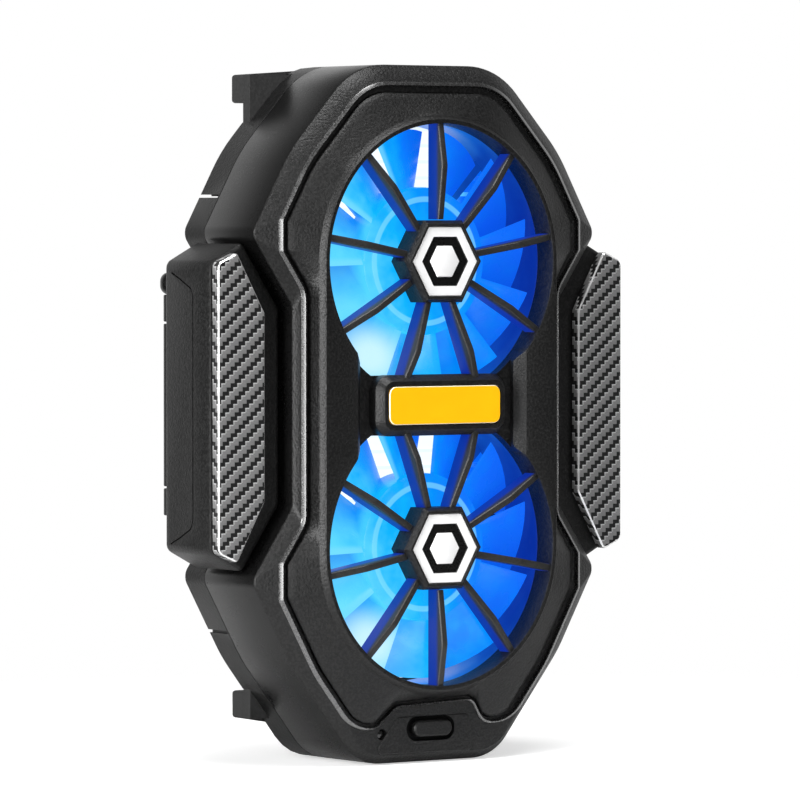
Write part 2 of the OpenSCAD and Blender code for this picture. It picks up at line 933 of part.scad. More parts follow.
// The rack runs past the pinion by the arm's travel, and its teeth point down at the pinion
module rack() {
    first = -ceil((arm_travel + gear_r) / gear_pitch);
    block([first * gear_pitch - 1, tongue_y, gear_r + dedendum], [arm_in, arm_back_y, rack_back]);
    for (i = [first : 1])
        slab(tongue_y, arm_back_y)
        translate([i * gear_pitch, gear_r])
        mirror([0, 1])
        tooth(addendum, dedendum + 0.1);
}

claw_x = cold_w / 2 + 0.7 + claw_l;
claw_y = back_y + 0.5;
knuckle_r = 1.45;
lug_l = 4;
lug_z = claw_w / 2 + pass_gap;
pin_head_r = 1.95;
pin_head_l = 3.3;

// Right arm; its rack lies below the pinion, and the left arm's lies above it
module arm_solid() {
    difference() {
        union() {
            skin([
                [arm_ring(0.5), arm_y],
                [arm_ring(0), arm_y + 0.6],
                [arm_ring(0), arm_back_y - 0.6],
                [arm_ring(0.6), arm_back_y]
            ]);
            slab(trim_y + trim_t, arm_y + 0.3) polygon(trim_ring(0.6));
            block([arm_in - 4.4, tongue_y, -tongue_half], [arm_in + 2, arm_back_y, tongue_half]);
            mirror([0, 0, 1]) rack();
            for (z = [-lug_z - lug_l, lug_z]) {
                translate([claw_x, claw_y, z]) cylinder(r = knuckle_r, h = lug_l);
                block([claw_x - knuckle_r, arm_back_y - 0.8, z], [claw_x + knuckle_r, claw_y, z + lug_l]);
            }
        }
        translate([claw_x, claw_y, -claw_w]) cylinder(r = claw_pin_r, h = 2 * claw_w);
    }
}

module left_arm() {
    color(satin_black) rotate([0, 180, 0]) arm_solid();
}
module right_arm() {
    color(satin_black) arm_solid();
}

module trim(right) {
    color([0.3, 0.3, 0.31])
    on_side(right)
    skin([
        [trim_ring(0.45), trim_y],
        [trim_ring(0), trim_y + 0.45],
        [trim_ring(0), trim_y + trim_t]
    ]);
}

module claw(right) {
    inner_y = claw_y - 0.25;
    color(satin_black)
    on_side(right)
    difference() {
        union() {
            translate([claw_x, claw_y, -claw_w / 2]) cylinder(r = knuckle_r, h = claw_w);
            block([claw_x - claw_l, inner_y, -claw_w / 2], [claw_x, inner_y + claw_t, claw_w / 2]);
            block(
                [claw_x - claw_l, inner_y - lip_h, -claw_w / 2],
                [claw_x - claw_l + 1.5, inner_y + 0.1, claw_w / 2]
            );
        }
        translate([claw_x, claw_y, -claw_w]) cylinder(r = claw_pin_r + run_gap, h = 2 * claw_w);
    }
}

claw_pad_t = 0.9;

module claw_pad(right) {
    inner_y = claw_y - 0.25;
    color([0.2, 0.2, 0.2])
    on_side(right)
    block(
        [claw_x - claw_l + 1.9, inner_y - claw_pad_t, 1 - claw_w / 2],
        [claw_x - knuckle_r - 0.4, inner_y, claw_w / 2 - 1]
    );
}

module claw_pin(right) {
    color("silver")
    on_side(right) translate([claw_x, claw_y, 0]) {
        translate([0, 0, -lug_z - lug_l]) cylinder(r = claw_pin_r, h = 2 * (lug_z + lug_l));
        translate([0, 0, lug_z + lug_l]) cylinder(r = pin_head_r, h = pin_head_l);
    }
}

module pinion() {
    color("ivory")
    difference() {
        union() {
            rod(gear_r - dedendum, tongue_y, arm_back_y);
            for (i = [0 : gear_teeth - 1])
                rotate([0, 90 + i * 360 / gear_teeth, 0])
                slab(tongue_y, arm_back_y) translate([0, gear_r]) tooth(addendum, dedendum + 0.3);
        }
        rod(pinion_pin_r + run_gap, tongue_y - 1, arm_back_y + 1);
    }
}

module pinion_pin() {
    color("silver") {
        rod(pinion_pin_r, tongue_y - 0.1, plate_y);
        rod(pinion_pin_r + 0.5, module_y + 0.05, tongue_y - 0.05);
    }
}

spring_z = 7.4;
spring_wire = 0.36;
spring_r = 0.56;
spring_turns = 18;
spring_rings = 8;
spring_sides = 6;
spring_half = arm_in - 4.4;
spring_y = tongue_y + tongue_t / 2;

// Middle line of the wire: a straight end, the turns, and a straight end
function spring_point(k) =
    let (
        last = spring_turns * spring_rings,
        turn = 360 * k / spring_rings,
        straight = 2 * spring_wire,
        run = 2 * (spring_half - straight)
    )
    k < 0 ? [-spring_half, spring_r, 0] :
    k > last ? [spring_half, spring_r, 0] :
    [-run / 2 + run * k / last, spring_r * cos(turn), spring_r * sin(turn)];

// Each spring pulls both arms towards the middle
module spring(upper) {
    count = spring_turns * spring_rings + 3;
    path = [for (k = [-1 : count - 2]) spring_point(k)];
    points = [
        for (k = [0 : count - 1], s = [0 : spring_sides - 1])
        let (
            along = unit(path[min(k + 1, count - 1)] - path[max(k - 1, 0)]),
            out = unit(cross(along, cross([0, path[k].y, path[k].z], along))),
            side = cross(along, out),
            a = 360 * s / spring_sides
        )
        path[k] + spring_wire / 2 * (cos(a) * out + sin(a) * side)
    ];
    sides = [
        for (k = [0 : count - 2], s = [0 : spring_sides - 1])
        let (a = k * spring_sides + s, b = k * spring_sides + (s + 1) % spring_sides)
        each [[a, b, b + spring_sides], [a, b + spring_sides, a + spring_sides]]
    ];
    ends = [
        [for (s = [spring_sides - 1 : -1 : 0]) s],
        [for (s = [0 : spring_sides - 1]) (count - 1) * spring_sides + s]
    ];
    color("silver")
    translate([0, spring_y, upper ? spring_z : -spring_z])
        polyhedron(points, [for (f = concat(sides, ends)) reversed(f)], convexity = 10);
}

placed() front_bezel();
placed() front_grille();
placed() hub_cap(true);  // upper_hub_cap
placed() hub_cap(false);  // lower_hub_cap
placed() badge_frame();
placed() badge_plate();
placed() button();
placed() light_lens();
placed() mid_shell();
placed() rear_cover();
placed() rear_plate();
placed() top_pad();
placed() bottom_pad();
placed() rear_screws();
placed() fan_frame(true);  // upper_fan_frame
placed() fan_frame(false);  // lower_fan_frame
placed() fan_bearing(true);  // upper_bearing
placed() fan_bearing(false);  // lower_bearing
placed() fan_stator(true);  // upper_stator
placed() fan_stator(false);  // lower_stator
placed() fan_shaft(true);  // upper_shaft
placed() fan_shaft(false);  // lower_shaft
placed() impeller(true);  // upper_impeller
placed() impeller(false);  // lower_impeller
placed() heat_sink();
placed() peltier(true);  // upper_peltier
placed() peltier(false);  // lower_peltier
placed() cold_plate();
placed() circuit_board();
placed() tact_switch();
placed() usb_socket();
placed() led_board(false);  // left_led_board
placed() led_board(true);  // right_led_board
placed() left_arm();
placed() right_arm();
placed() trim(false);  // left_trim
placed() trim(true);  // right_trim
placed() claw(false);  // left_claw
placed() claw(true);  // right_claw
placed() claw_pad(false);  // left_claw_pad
placed() claw_pad(true);  // right_claw_pad
placed() claw_pin(false);  // left_claw_pin
placed() claw_pin(true);  // right_claw_pin
placed() pinion();
placed() pinion_pin();
placed() spring(true);  // upper_spring
placed() spring(false);  // lower_spring
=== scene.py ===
"""Phone cooling fan: the finished surfaces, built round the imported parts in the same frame."""
import math

import bmesh
import bpy
from mathutils import Matrix, Vector


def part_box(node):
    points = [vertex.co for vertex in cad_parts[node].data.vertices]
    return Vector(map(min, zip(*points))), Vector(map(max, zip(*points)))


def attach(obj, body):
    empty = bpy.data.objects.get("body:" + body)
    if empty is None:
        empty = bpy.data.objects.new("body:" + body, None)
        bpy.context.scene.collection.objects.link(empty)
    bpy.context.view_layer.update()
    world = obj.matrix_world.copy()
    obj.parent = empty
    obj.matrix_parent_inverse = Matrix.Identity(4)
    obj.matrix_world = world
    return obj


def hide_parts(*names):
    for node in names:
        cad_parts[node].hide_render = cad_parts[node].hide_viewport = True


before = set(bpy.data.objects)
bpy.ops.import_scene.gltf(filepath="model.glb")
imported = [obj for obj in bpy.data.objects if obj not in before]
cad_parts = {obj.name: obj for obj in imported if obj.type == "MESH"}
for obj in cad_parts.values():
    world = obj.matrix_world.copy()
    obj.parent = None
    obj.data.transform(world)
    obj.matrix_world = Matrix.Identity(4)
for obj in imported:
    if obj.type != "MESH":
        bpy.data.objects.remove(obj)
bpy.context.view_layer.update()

# Sizes in millimetres: X runs right, Y back from the front plateau, Z up from the middle between the fans.
MM = 0.001
MERGE = 2e-6
CENTRE_Y, FOOT_H, WALL = 12.5, 53.0, 1.8
RIM_Y, SEAM_Y, BACK_Y, PHONE_Y = 4.4, 17.3, 22.4, 25.7
OPENING_R, FAN_Z, PLATEAU_R, NECK_HALF, NECK_FLARE = 20.35, 21.2, 21.6, 14.0, 1.3
HUB_R, HUB_WALL, NECK_Y = 7.0, 1.1, 2.3
RIBS, RIB_HALF, RIB_BACK_Y = 9, 0.55, 3.0
BADGE_L, BADGE_H, BADGE_BORDER, BADGE_SLOPE = 20.3, 5.7, 0.75, 0.9
BUTTON_L, BUTTON_H, BUTTON_Z = 6.9, 2.4, -48.0
LIGHT_X, LIGHT_Z = -9.0, BUTTON_Z - 0.6
VENTS, VENT_STEP, VENT_HALF, VENT_Y, VENT_BACK_Y = 5, 4.4, 1.2, 11.8, 15.3
PORT_L, PORT_H, PORT_Y = 9.24, 3.56, 10.23
COLD_W, COLD_H, COLD_R, MODULE_HALF = 36.4, 76.0, 3.0, 12.5
PAD_W = 41.0
SCREWS = ((16.67, 41.3), (17.84, -40.4))

FANS = (("upper", FAN_Z, 0.0), ("lower", -FAN_Z, math.pi))
FAN_Y, FAN_BACK_Y, STRUT_Y = 3.9, 11.5, 10.7
BLADES, BLADE_Y, BLADE_DEPTH, BLADE_START, BLADE_COVER = 11, 7.5, 5.5, -8.18, 1.12
FIN_STEP, FIN_HALF, FIN_Y, FIN_BASE_Y, FIN_END_HALF = 2.4, 20.8, 11.8, 15.3, 13.3

ARM_OUT, ARM_HALF, ARM_IN, ARM_BACK_Y, TONGUE_Y = 36.9, 21.1, 24.7, 18.8, 17.45
ARM_OUTLINE = [
    (ARM_IN, -14.4), (31.2, -24.1), (ARM_OUT, -ARM_HALF), (ARM_OUT, ARM_HALF), (31.2, 24.1), (ARM_IN, 14.4),
]
ARM_RADII = [1.5, 0.8, 1.5, 1.5, 0.8, 1.5]
TRIM_OUTLINE = [
    (28.6, -13.7), (33.5, -22.6), (ARM_OUT, -ARM_HALF), (ARM_OUT, ARM_HALF), (33.5, 22.6), (28.6, 13.7),
]
TRIM_RADII = [1, 0.6, 1.2, 1.2, 0.6, 1]
TOW_W, TOW_STEP = 0.7, 0.605
CREASE_W, CREASE_D = 0.42, 0.3
CREASE_PATH = [
    (17.2, -20.2), (15, -19.3), (11.9, -17.8), (11.3, -16.5), (11.3, 16), (11.8, 17.3), (14.5, 18.6), (16.9, 19.6),
]
CLAW_X, CLAW_Y, CLAW_L, CLAW_W, CLAW_T = 32.6, 22.9, 13.7, 24.0, 1.85
KNUCKLE_R, LUG_Z, LUG_L = 1.45, 12.3, 4.0
PIN_R, PIN_HEAD_R, PIN_HEAD_L = 0.7, 1.95, 3.3
RACK_PITCH, RACK_TEETH, RACK_FIRST = math.pi * 0.6, 10, -8
SPRING_L, SPRING_R, SPRING_WIRE, SPRING_Y, SPRING_Z = 40.6, 0.56, 0.18, 18.125, 7.4

# The body's right half from its foot up: corners, radii, which way each corner bends,
# and how far the bead and the plate lie inside each edge.
HALF_OUTLINE = [
    (12.4, -53), (24.5, -37.5), (30.9, -26), (30.9, -24.7), (24.1, -14.7),
    (24.1, 14.7), (30.9, 24.7), (30.9, 26), (24.5, 37.5), (13, 50.2),
]
HALF_RADII = [8, 25, 2, 2, 2.5, 2.5, 2, 2, 25, 12]
HALF_BEND = [1, 1, 1, 1, -1, -1, 1, 1, 1, 1]
BEAD_IN = [1.4, 1.9, 3.4, 1.7, 0.65, 1.7, 3.4, 2.3, 2.3, 2.5]
PLATE_IN = [3, 3.5, 5, 3.1, 2.15, 3.1, 5, 3.9, 3.9, 4.1]
PANEL = [(-10.6, -51.5), (7.3, -51.7), (6.8, -46.1), (-6.2, -46.1)]
PANEL_RADII = [0.8, 0.6, 0.8, 1.2]
BODY_STEPS = 10
BEAD_FOOT, PLATE_FOOT = 5.2, 6.1
BEAD_SPAN, BEAD_FOOT_SHARE = 1.6, 0.56
FOOT_PIECES, FOOT_TOP = 72, -40
# How far they rise over the button, by X.
FOOT_LIFT = [
    (-10.6, 0), (-9.9, 0.3), (-9.2, 0.9), (-7.2, 2.6), (-6.5, 3.0), (-5.6, 3.15), (6.2, 3.6), (6.9, 3.5),
    (7.6, 2.9), (8.2, 1.7), (8.8, 0.8), (9.6, 0.25), (10.6, 0),
]


# Node trees

def operator(operation, swapped=False):
    """A method that adds a Math node for a value and what it meets."""
    def method(value, *others):
        return value.math(operation, *others, value) if swapped else value.math(operation, value, *others)
    return method


class Value:
    """A socket. An expression on values adds Math nodes to its tree."""

    def __init__(self, plan, socket):
        self.plan, self.socket = plan, socket

    def math(self, operation, *values):
        return self.plan.add("ShaderNodeMath", {"operation": operation}, dict(enumerate(values)))

    __add__ = __radd__ = operator("ADD")
    __sub__, __rsub__ = operator("SUBTRACT"), operator("SUBTRACT", True)
    __mul__ = __rmul__ = operator("MULTIPLY")
    __truediv__, __mod__ = operator("DIVIDE"), operator("FLOORED_MODULO")
    __lt__, __gt__ = operator("LESS_THAN"), operator("GREATER_THAN")
    __abs__, floor, root = operator("ABSOLUTE"), operator("FLOOR"), operator("SQRT")
    least, most = operator("MINIMUM"), operator("MAXIMUM")


class Plan:
    """A node tree that is written as calls and expressions."""

    def __init__(self, tree):
        self.tree = tree

    def add(self, kind, settings=(), sockets=(), give=0):
        node = self.tree.nodes.new(kind)
        for name, value in dict(settings).items():
            if name == "stops":
                self.set_stops(node.color_ramp, value)
            else:
                setattr(node, name, value)
        for name, value in dict(sockets).items():
            if isinstance(value, Value):
                self.tree.links.new(value.socket, node.inputs[name])
            else:
                node.inputs[name].default_value = value
        return Value(self, node.outputs[give]) if node.outputs else None

    @staticmethod
    def set_stops(ramp, stops):
        while len(ramp.elements) < len(stops):
            ramp.elements.new(0.5)
        for element, (position, colour) in zip(ramp.elements, stops):
            element.position, element.color = position, colour

    def outputs(self, kind, sockets=()):
        """A new node's outputs by name."""
        node = self.add(kind, (), sockets).socket.node
        return {output.name: Value(self, output) for output in node.outputs if output.name}

    def parts(self, vector):
        """The X, Y and Z of a vector."""
        return list(self.outputs("ShaderNodeSeparateXYZ", {0: vector}).values())

    def fade(self, value, start, end):
        """0 before start, 1 after end, and smooth between them."""
        return self.add("ShaderNodeMapRange", {"interpolation_type": "SMOOTHSTEP"},
                        {"Value": value, "From Min": start, "From Max": end})


def srgb(red, green, blue):
    """A colour given as 0 to 255 on screen, as a linear colour."""
    parts = []
    for part in (red, green, blue):
        part /= 255
        parts.append(part / 12.92 if part <= 0.04045 else ((part + 0.055) / 1.055) ** 2.4)
    return (*parts, 1.0)


class Finish(Plan):
    """A material with one Principled shader, whose patterns are in millimetres of the module's frame."""

    def __init__(self, name, **constants):
        self.material = bpy.data.materials.new(name)
        self.material.use_nodes = True
        super().__init__(self.material.node_tree)
        self.shader = next(n for n in self.tree.nodes if n.type == "BSDF_PRINCIPLED")
        for socket, value in constants.items():
            self.shader.inputs[socket.replace("_", " ")].default_value = value
        spot = self.add("ShaderNodeTexCoord", (), (), "Object")
        scaled = self.add("ShaderNodeVectorMath", {"operation": "SCALE"}, {0: spot, "Scale": 1 / MM})
        self.spot = self.add("ShaderNodeVectorMath", {"operation": "ADD"},
                             {0: scaled, 1: (0, CENTRE_Y, -FOOT_H)})
        self.x, self.y, self.z = self.parts(self.spot)

    def feed(self, socket, value):
        self.tree.links.new(value.socket, self.shader.inputs[socket])

    def blend(self, share, first, second):
        return self.add("ShaderNodeMix", {"data_type": "RGBA"}, {0: share, 6: first, 7: second}, 2)

    def ramp(self, value, stops):
        return self.add("ShaderNodeValToRGB", {"stops": stops}, {0: value})

    def noise(self, size, detail=2.0, stretch=(1, 1, 1)):
        """Noise with features of about this size in millimetres."""
        drawn = self.add("ShaderNodeVectorMath", {"operation": "MULTIPLY"},
                         {0: self.spot, 1: tuple(1 / (size * s) for s in stretch)})
        return self.add("ShaderNodeTexNoise", (), {"Vector": drawn, "Scale": 1.0, "Detail": detail})

    def done(self, colour, rough, height=None, depth=0.0, strength=1.0):
        """The material, with its colour, roughness and bumps fed in."""
        self.feed("Base Color", colour)
        self.feed("Roughness", rough)
        if height is not None:
            self.feed("Normal", self.add("ShaderNodeBump", (), {
                "Strength": strength, "Distance": depth * MM, "Height": height}))
        return self.material

    def facing(self):
        """The surface's own direction."""
        return self.parts(self.add("ShaderNodeNewGeometry", (), (), "Normal"))


def grey(level):
    return srgb(level, level, level)


def moulded(name, low, high, rough, grain, depth, **constants):
    """Moulded black plastic with a fine spark-eroded grain."""
    made = Finish(name, **constants)
    fine = made.noise(grain, 3.0)
    cloud = made.noise(9.0)
    speck = made.fade(fine, 0.38, 0.68)
    colour = made.blend(speck * 0.8 + cloud * 0.2, grey(low), grey(high))
    return made.done(colour, rough + (fine - 0.5) * 0.2 + (cloud - 0.5) * 0.1, fine, depth)


def metal(name, low, high, rough, brush, **constants):
    """Bare metal with fine brushed lines."""
    made = Finish(name, Metallic=1.0, **constants)
    lines = made.noise(1.0, 3.0, brush)
    stain = made.noise(6.0, 3.0)
    colour = made.blend(lines * 0.6 + stain * 0.4, low, high)
    return made.done(colour, rough + (lines - 0.5) * 0.2, lines, 0.01, 0.5)


def twill_trim():
    """Twill cloth in clear lacquer: dark stairs climb to the right between light threads, whose upper and left edges
    carry a painted highlight.
    """
    made = Finish("carbon_trim", Coat_Weight=0.3, Coat_Roughness=0.08, Specular_IOR_Level=0.2)
    across = (made.x + made.y) / TOW_W
    up = made.z / TOW_STEP
    row = up.floor()
    stair = (across - row) % 4
    dark = 1 - made.fade(stair, 1.62, 1.74)
    rise = up - row
    # Painted highlight along the light threads' left and upper edges.
    edge = (1 - made.fade(stair, 1.8, 2.2)) * 0.5 + made.fade(rise, 0.62, 0.9) * (1 - made.fade(stair, 2.6, 2.8))
    thread = made.noise(0.1, 2.0, (7, 1, 1))
    light = made.blend(edge.least(1.0), made.blend(thread, grey(98), grey(124)), grey(176))
    deep = made.blend(thread, grey(8), grey(30))
    colour = made.blend(dark, light, deep)
    return made.done(colour, 0.42 + dark * 0.1 + thread * 0.1, rise * (1 - rise) * 4 * (1 - dark * 0.6), 0.03, 0.5)


def badge_paint():
    made = Finish("badge_yellow", Coat_Weight=0.08, Coat_Roughness=0.2, Specular_IOR_Level=0.2)
    cloud = made.noise(5.0)
    fine = made.noise(0.12)
    colour = made.blend(cloud, srgb(246, 176, 2), srgb(252, 188, 8))
    return made.done(colour, 0.36 + fine * 0.12, fine, 0.004, 0.6)


def white_enamel():
    made = Finish("emblem_white", Coat_Weight=0.3, Coat_Roughness=0.1)
    cloud = made.noise(2.0)
    colour = made.blend(cloud, grey(228), grey(248))
    return made.done(colour, 0.3 + cloud * 0.1, made.noise(0.1), 0.003, 0.5)


def lit_blue():
    """Clear blue plastic, lit by the lamps on its left: cyan there, a deeper blue on the right."""
    made = Finish("fan_blue", Emission_Strength=1.0, Specular_IOR_Level=0.3)
    rise = (abs(made.z) - FAN_Z) * ((made.z > 0) * 2 - 1)
    out = (made.x * made.x + rise * rise).root()
    streak = made.noise(3.2)
    side = made.x + rise * 0.35 + (streak - 0.5) * 14
    tone = made.ramp(made.fade(side, -20, 22), [
        (0.0, srgb(96, 220, 255)), (0.3, srgb(14, 180, 255)), (0.62, srgb(0, 140, 252)), (1.0, srgb(16, 100, 242))])
    # Painted shade: the blades grow darker further back in the fan.
    deep = made.fade(made.y, 5.0, 10.0)
    lit = made.blend(deep * 0.6, tone, srgb(2, 62, 190))
    # Painted highlight on the blades' front edges, on the left.
    edge = (1 - made.fade(made.y, 4.85, 5.3)) * (out > 11.2) * (1 - made.fade(made.x, -8, 4))
    lit = made.blend(edge * 0.55, lit, srgb(130, 225, 255))
    # Painted glint on the cup's raised ring.
    painted_ring_glint = made.fade(out, 8.7, 8.9) * (1 - made.fade(out, 9.5, 9.7)) * (made.y < 4.62)
    lit = made.blend(painted_ring_glint * 0.5, lit, srgb(140, 230, 255))
    # Painted glare: a white-cyan spot on the blades, below and left of the hub.
    glare_aside, glare_below = made.x + 9, rise + 14
    near = (glare_aside * glare_aside + glare_below * glare_below).root()
    lit = made.blend((1 - made.fade(near, 1.0, 6.0)) * 0.85, lit, srgb(215, 250, 255))
    made.feed("Emission Color", lit)
    colour = made.blend(streak, srgb(6, 30, 90), srgb(14, 60, 130))
    return made.done(colour, 0.2 + streak * 0.15)


def duct_painted_glow():
    """Blue duct wall with a painted glow from the fan lamps: brighter on the left, darker towards the right."""
    made = Finish("duct_blue", Emission_Strength=1.0, Specular_IOR_Level=0.2)
    cloud = made.noise(4.0)
    glow = made.fade(made.x * -1 + (cloud - 0.5) * 8, -22, 20)
    made.feed("Emission Color", made.blend(glow, srgb(6, 40, 140), srgb(30, 150, 250)))
    colour = made.blend(cloud, srgb(6, 20, 60), srgb(10, 30, 90))
    return made.done(colour, 0.3 + cloud * 0.15)


def fin_metal():
    """Heat sink metal; the lamps light it white on the left and blue on the right."""
    made = Finish("aluminium_lit", Metallic=1.0, Emission_Strength=1.0)
    lines = made.noise(0.4, 3.0, (8, 1, 1))
    lit = made.ramp(made.fade(made.x, 9, 15), [
        (0.0, srgb(238, 250, 255)), (0.45, srgb(90, 200, 255)), (1.0, srgb(4, 96, 235))])
    # Painted shade: no glow on the fins' ends at the sides.
    side = made.fade(abs(made.x), 19.2, 20.4)
    made.feed("Emission Color", made.blend(side, lit, (0, 0, 0, 1)))
    colour = made.blend(lines, grey(120), grey(150))
    return made.done(colour, 0.5 + lines * 0.2)


def rib_black():
    """Black ribs whose flanks take up a little of the blue light from behind."""
    made = Finish("rib_black", Emission_Strength=1.0, Specular_IOR_Level=0.4)
    fine = made.noise(0.3, 3.0)
    flank = made.fade(made.facing()[1], -0.75, -0.35)
    deep = made.fade(made.y, 0.3, 1.3)
    lit = flank * deep
    # Painted light: the flanks glow blue, most towards the back.
    made.feed("Emission Color", made.blend(lit, (0, 0, 0, 1), srgb(6, 44, 156)))
    # Painted shade: the flanks' own colour is darkened, while the tops keep a lighter grey.
    colour = made.blend(lit, made.blend(fine, grey(26), grey(46)), grey(4))
    return made.done(colour, 0.42 + (fine - 0.5) * 0.2, fine, 0.02)


def plain_paint(name, first, second, size, rough, **constants):
    """A simple moulded or coated finish with a soft change of tone."""
    made = Finish(name, **constants)
    cloud = made.noise(size, 3.0)
    fine = made.noise(0.15)
    colour = made.blend(cloud, first, second)
    return made.done(colour, rough + (cloud - 0.5) * 0.15, fine, 0.006, 0.6)


SHELL_BLACK = moulded("shell_black", 4, 26, 0.42, 0.34, 0.07, Specular_IOR_Level=0.35)
BEZEL_BLACK = moulded("bezel_black", 4, 28, 0.42, 0.36, 0.09, Specular_IOR_Level=0.35)
SATIN_BLACK = moulded("satin_black", 5, 11, 0.3, 0.3, 0.012, Specular_IOR_Level=0.4)
# Painted highlight: the bead is bright grey metal, so that it shows as a light line all round the plate.
BEAD_HIGHLIGHT = moulded("bead_black", 112, 130, 0.28, 0.3, 0.003, Metallic=1.0)
RIB_BLACK = rib_black()
CARBON = twill_trim()
# Painted highlight: a near-white metal chamfer stands for the shine along the trims' front edges.
TRIM_HIGHLIGHT = plain_paint("trim_edge", grey(225), grey(248), 2.0, 0.22, Metallic=0.6)
# Painted highlight: a pale cream band on the bevel round the yellow face.
BADGE_HIGHLIGHT = plain_paint("badge_edge", srgb(232, 226, 200), srgb(250, 246, 226), 2.0, 0.25)
YELLOW = badge_paint()
WHITE = white_enamel()
FAN_BLUE = lit_blue()
DUCT_BLUE = duct_painted_glow()
# Painted shade: near-black and dull, for the button's flange, which floors the recess round the button.
RECESS_SHADE = moulded("recess_black", 1, 4, 0.6, 0.3, 0.02, Specular_IOR_Level=0.1)
RUBBER = moulded("rubber_black", 24, 38, 0.72, 0.4, 0.02)
ALUMINIUM = metal("aluminium", grey(176), grey(206), 0.3, (6, 1, 0.12))
FIN_METAL = fin_metal()
STEEL = metal("steel", grey(150), grey(190), 0.28, (0.3, 0.3, 2))
BRONZE = metal("bronze", srgb(150, 110, 60), srgb(190, 145, 85), 0.35, (0.4, 0.4, 0.4))
COPPER = plain_paint("copper", srgb(150, 78, 40), srgb(190, 105, 58), 0.4, 0.35, Metallic=1.0)
CERAMIC = plain_paint("ceramic_white", grey(215), grey(238), 3.0, 0.5)
BOARD = plain_paint("board_green", srgb(14, 60, 36), srgb(22, 82, 48), 1.2, 0.4)
LAMP = plain_paint("lamp_white", grey(225), grey(246), 1.5, 0.35)
LENS = plain_paint("lens_dark", grey(10), grey(24), 0.5, 0.15, Coat_Weight=0.6)
IVORY = plain_paint("gear_ivory", srgb(222, 214, 192), srgb(236, 230, 212), 1.5, 0.45)


# Outlines in X and Z

def left_of(v):
    return Vector((-v.y, v.x))


def moved(points, inwards):
    """An outline whose edges have each moved inwards."""
    points = [Vector(p) for p in points]
    count, out = len(points), []
    for i, p in enumerate(points):
        u = left_of((p - points[i - 1]).normalized())
        v = left_of((points[(i + 1) % count] - p).normalized())
        a, b = p.dot(u) + inwards[i - 1], p.dot(v) + inwards[i]
        det = u.x * v.y - u.y * v.x
        out.append(Vector(((a * v.y - b * u.y) / det, (u.x * b - v.x * a) / det)))
    return out


def rounded(points, radii, steps=6):
    """An outline with an arc at each corner."""
    points = [Vector(p) for p in points]
    count, out = len(points), []
    for i, p in enumerate(points):
        u = (points[i - 1] - p).normalized()
        v = (points[(i + 1) % count] - p).normalized()
        half = math.acos(max(-1, min(1, u.dot(v)))) / 2
        r = radii[i]
        centre = p + (u + v).normalized() * (r / math.sin(half))
        first = p + u * (r / math.tan(half)) - centre
        last = p + v * (r / math.tan(half)) - centre
        start = math.atan2(first.y, first.x)
        turn = (math.atan2(last.y, last.x) - start + 3 * math.pi) % (2 * math.pi) - math.pi
        for k in range(steps + 1):
            a = start + turn * k / steps
            out.append(centre + Vector((math.cos(a), math.sin(a))) * r)
    return out


def both(half):
    return list(half) + [(-x, z) for x, z in reversed(half)]


def edge_values(half):
    return list(half) + list(half[-2::-1]) + [half[-1]]


def even(d):
    return [d] * len(HALF_OUTLINE)


def body_ring(half_in, least=0.1, foot=None):
    """The body's rounded outline, with each edge of its right half and its bottom edge moved inwards."""
    radii = [max(least, r - bend * d) for r, bend, d in zip(HALF_RADII, HALF_BEND, half_in)]
    inwards = edge_values(half_in)
    if foot is not None:
        inwards[-1] = foot
    corners = moved(both(HALF_OUTLINE), inwards)
    return rounded(corners, radii + radii[::-1], BODY_STEPS)


def inset_ring(points, radii, d, least, steps=6):
    return rounded(moved(points, [d] * len(points)), [max(least, r - d) for r in radii], steps)


def box_ring(w, h, r, steps=6):
    return rounded([(w / 2, -h / 2), (w / 2, h / 2), (-w / 2, h / 2), (-w / 2, -h / 2)], [r] * 4, steps)


def pill_ring(l, h, steps=16):
    out = []
    for side, start in ((1, -90), (-1, 90)):
        for k in range(steps + 1):
            a = math.radians(start + 180 * k / steps)
            out.append(Vector((side * (l - h) / 2 + h / 2 * math.cos(a), h / 2 * math.sin(a))))
    return out


def hexagon(r):
    return [Vector((r * math.cos(math.radians(60 * k)), r * math.sin(math.radians(60 * k)))) for k in range(6)]


def split_edges(ring, step):
    """A ring with its long edges split."""
    out = []
    for i, a in enumerate(ring):
        b = ring[(i + 1) % len(ring)]
        n = max(1, math.ceil((b - a).length / step))
        out += [a.lerp(b, k / n) for k in range(n)]
    return out


def level(ring, y, shift=(0, 0)):
    """A flat ring at a depth."""
    return [(p[0] + shift[0], y, p[1] + shift[1]) for p in ring]


# Meshes

def place(x, y, z):
    """A spot of the module's frame in metres."""
    return (x * MM, (y - CENTRE_Y) * MM, (z + FOOT_H) * MM)


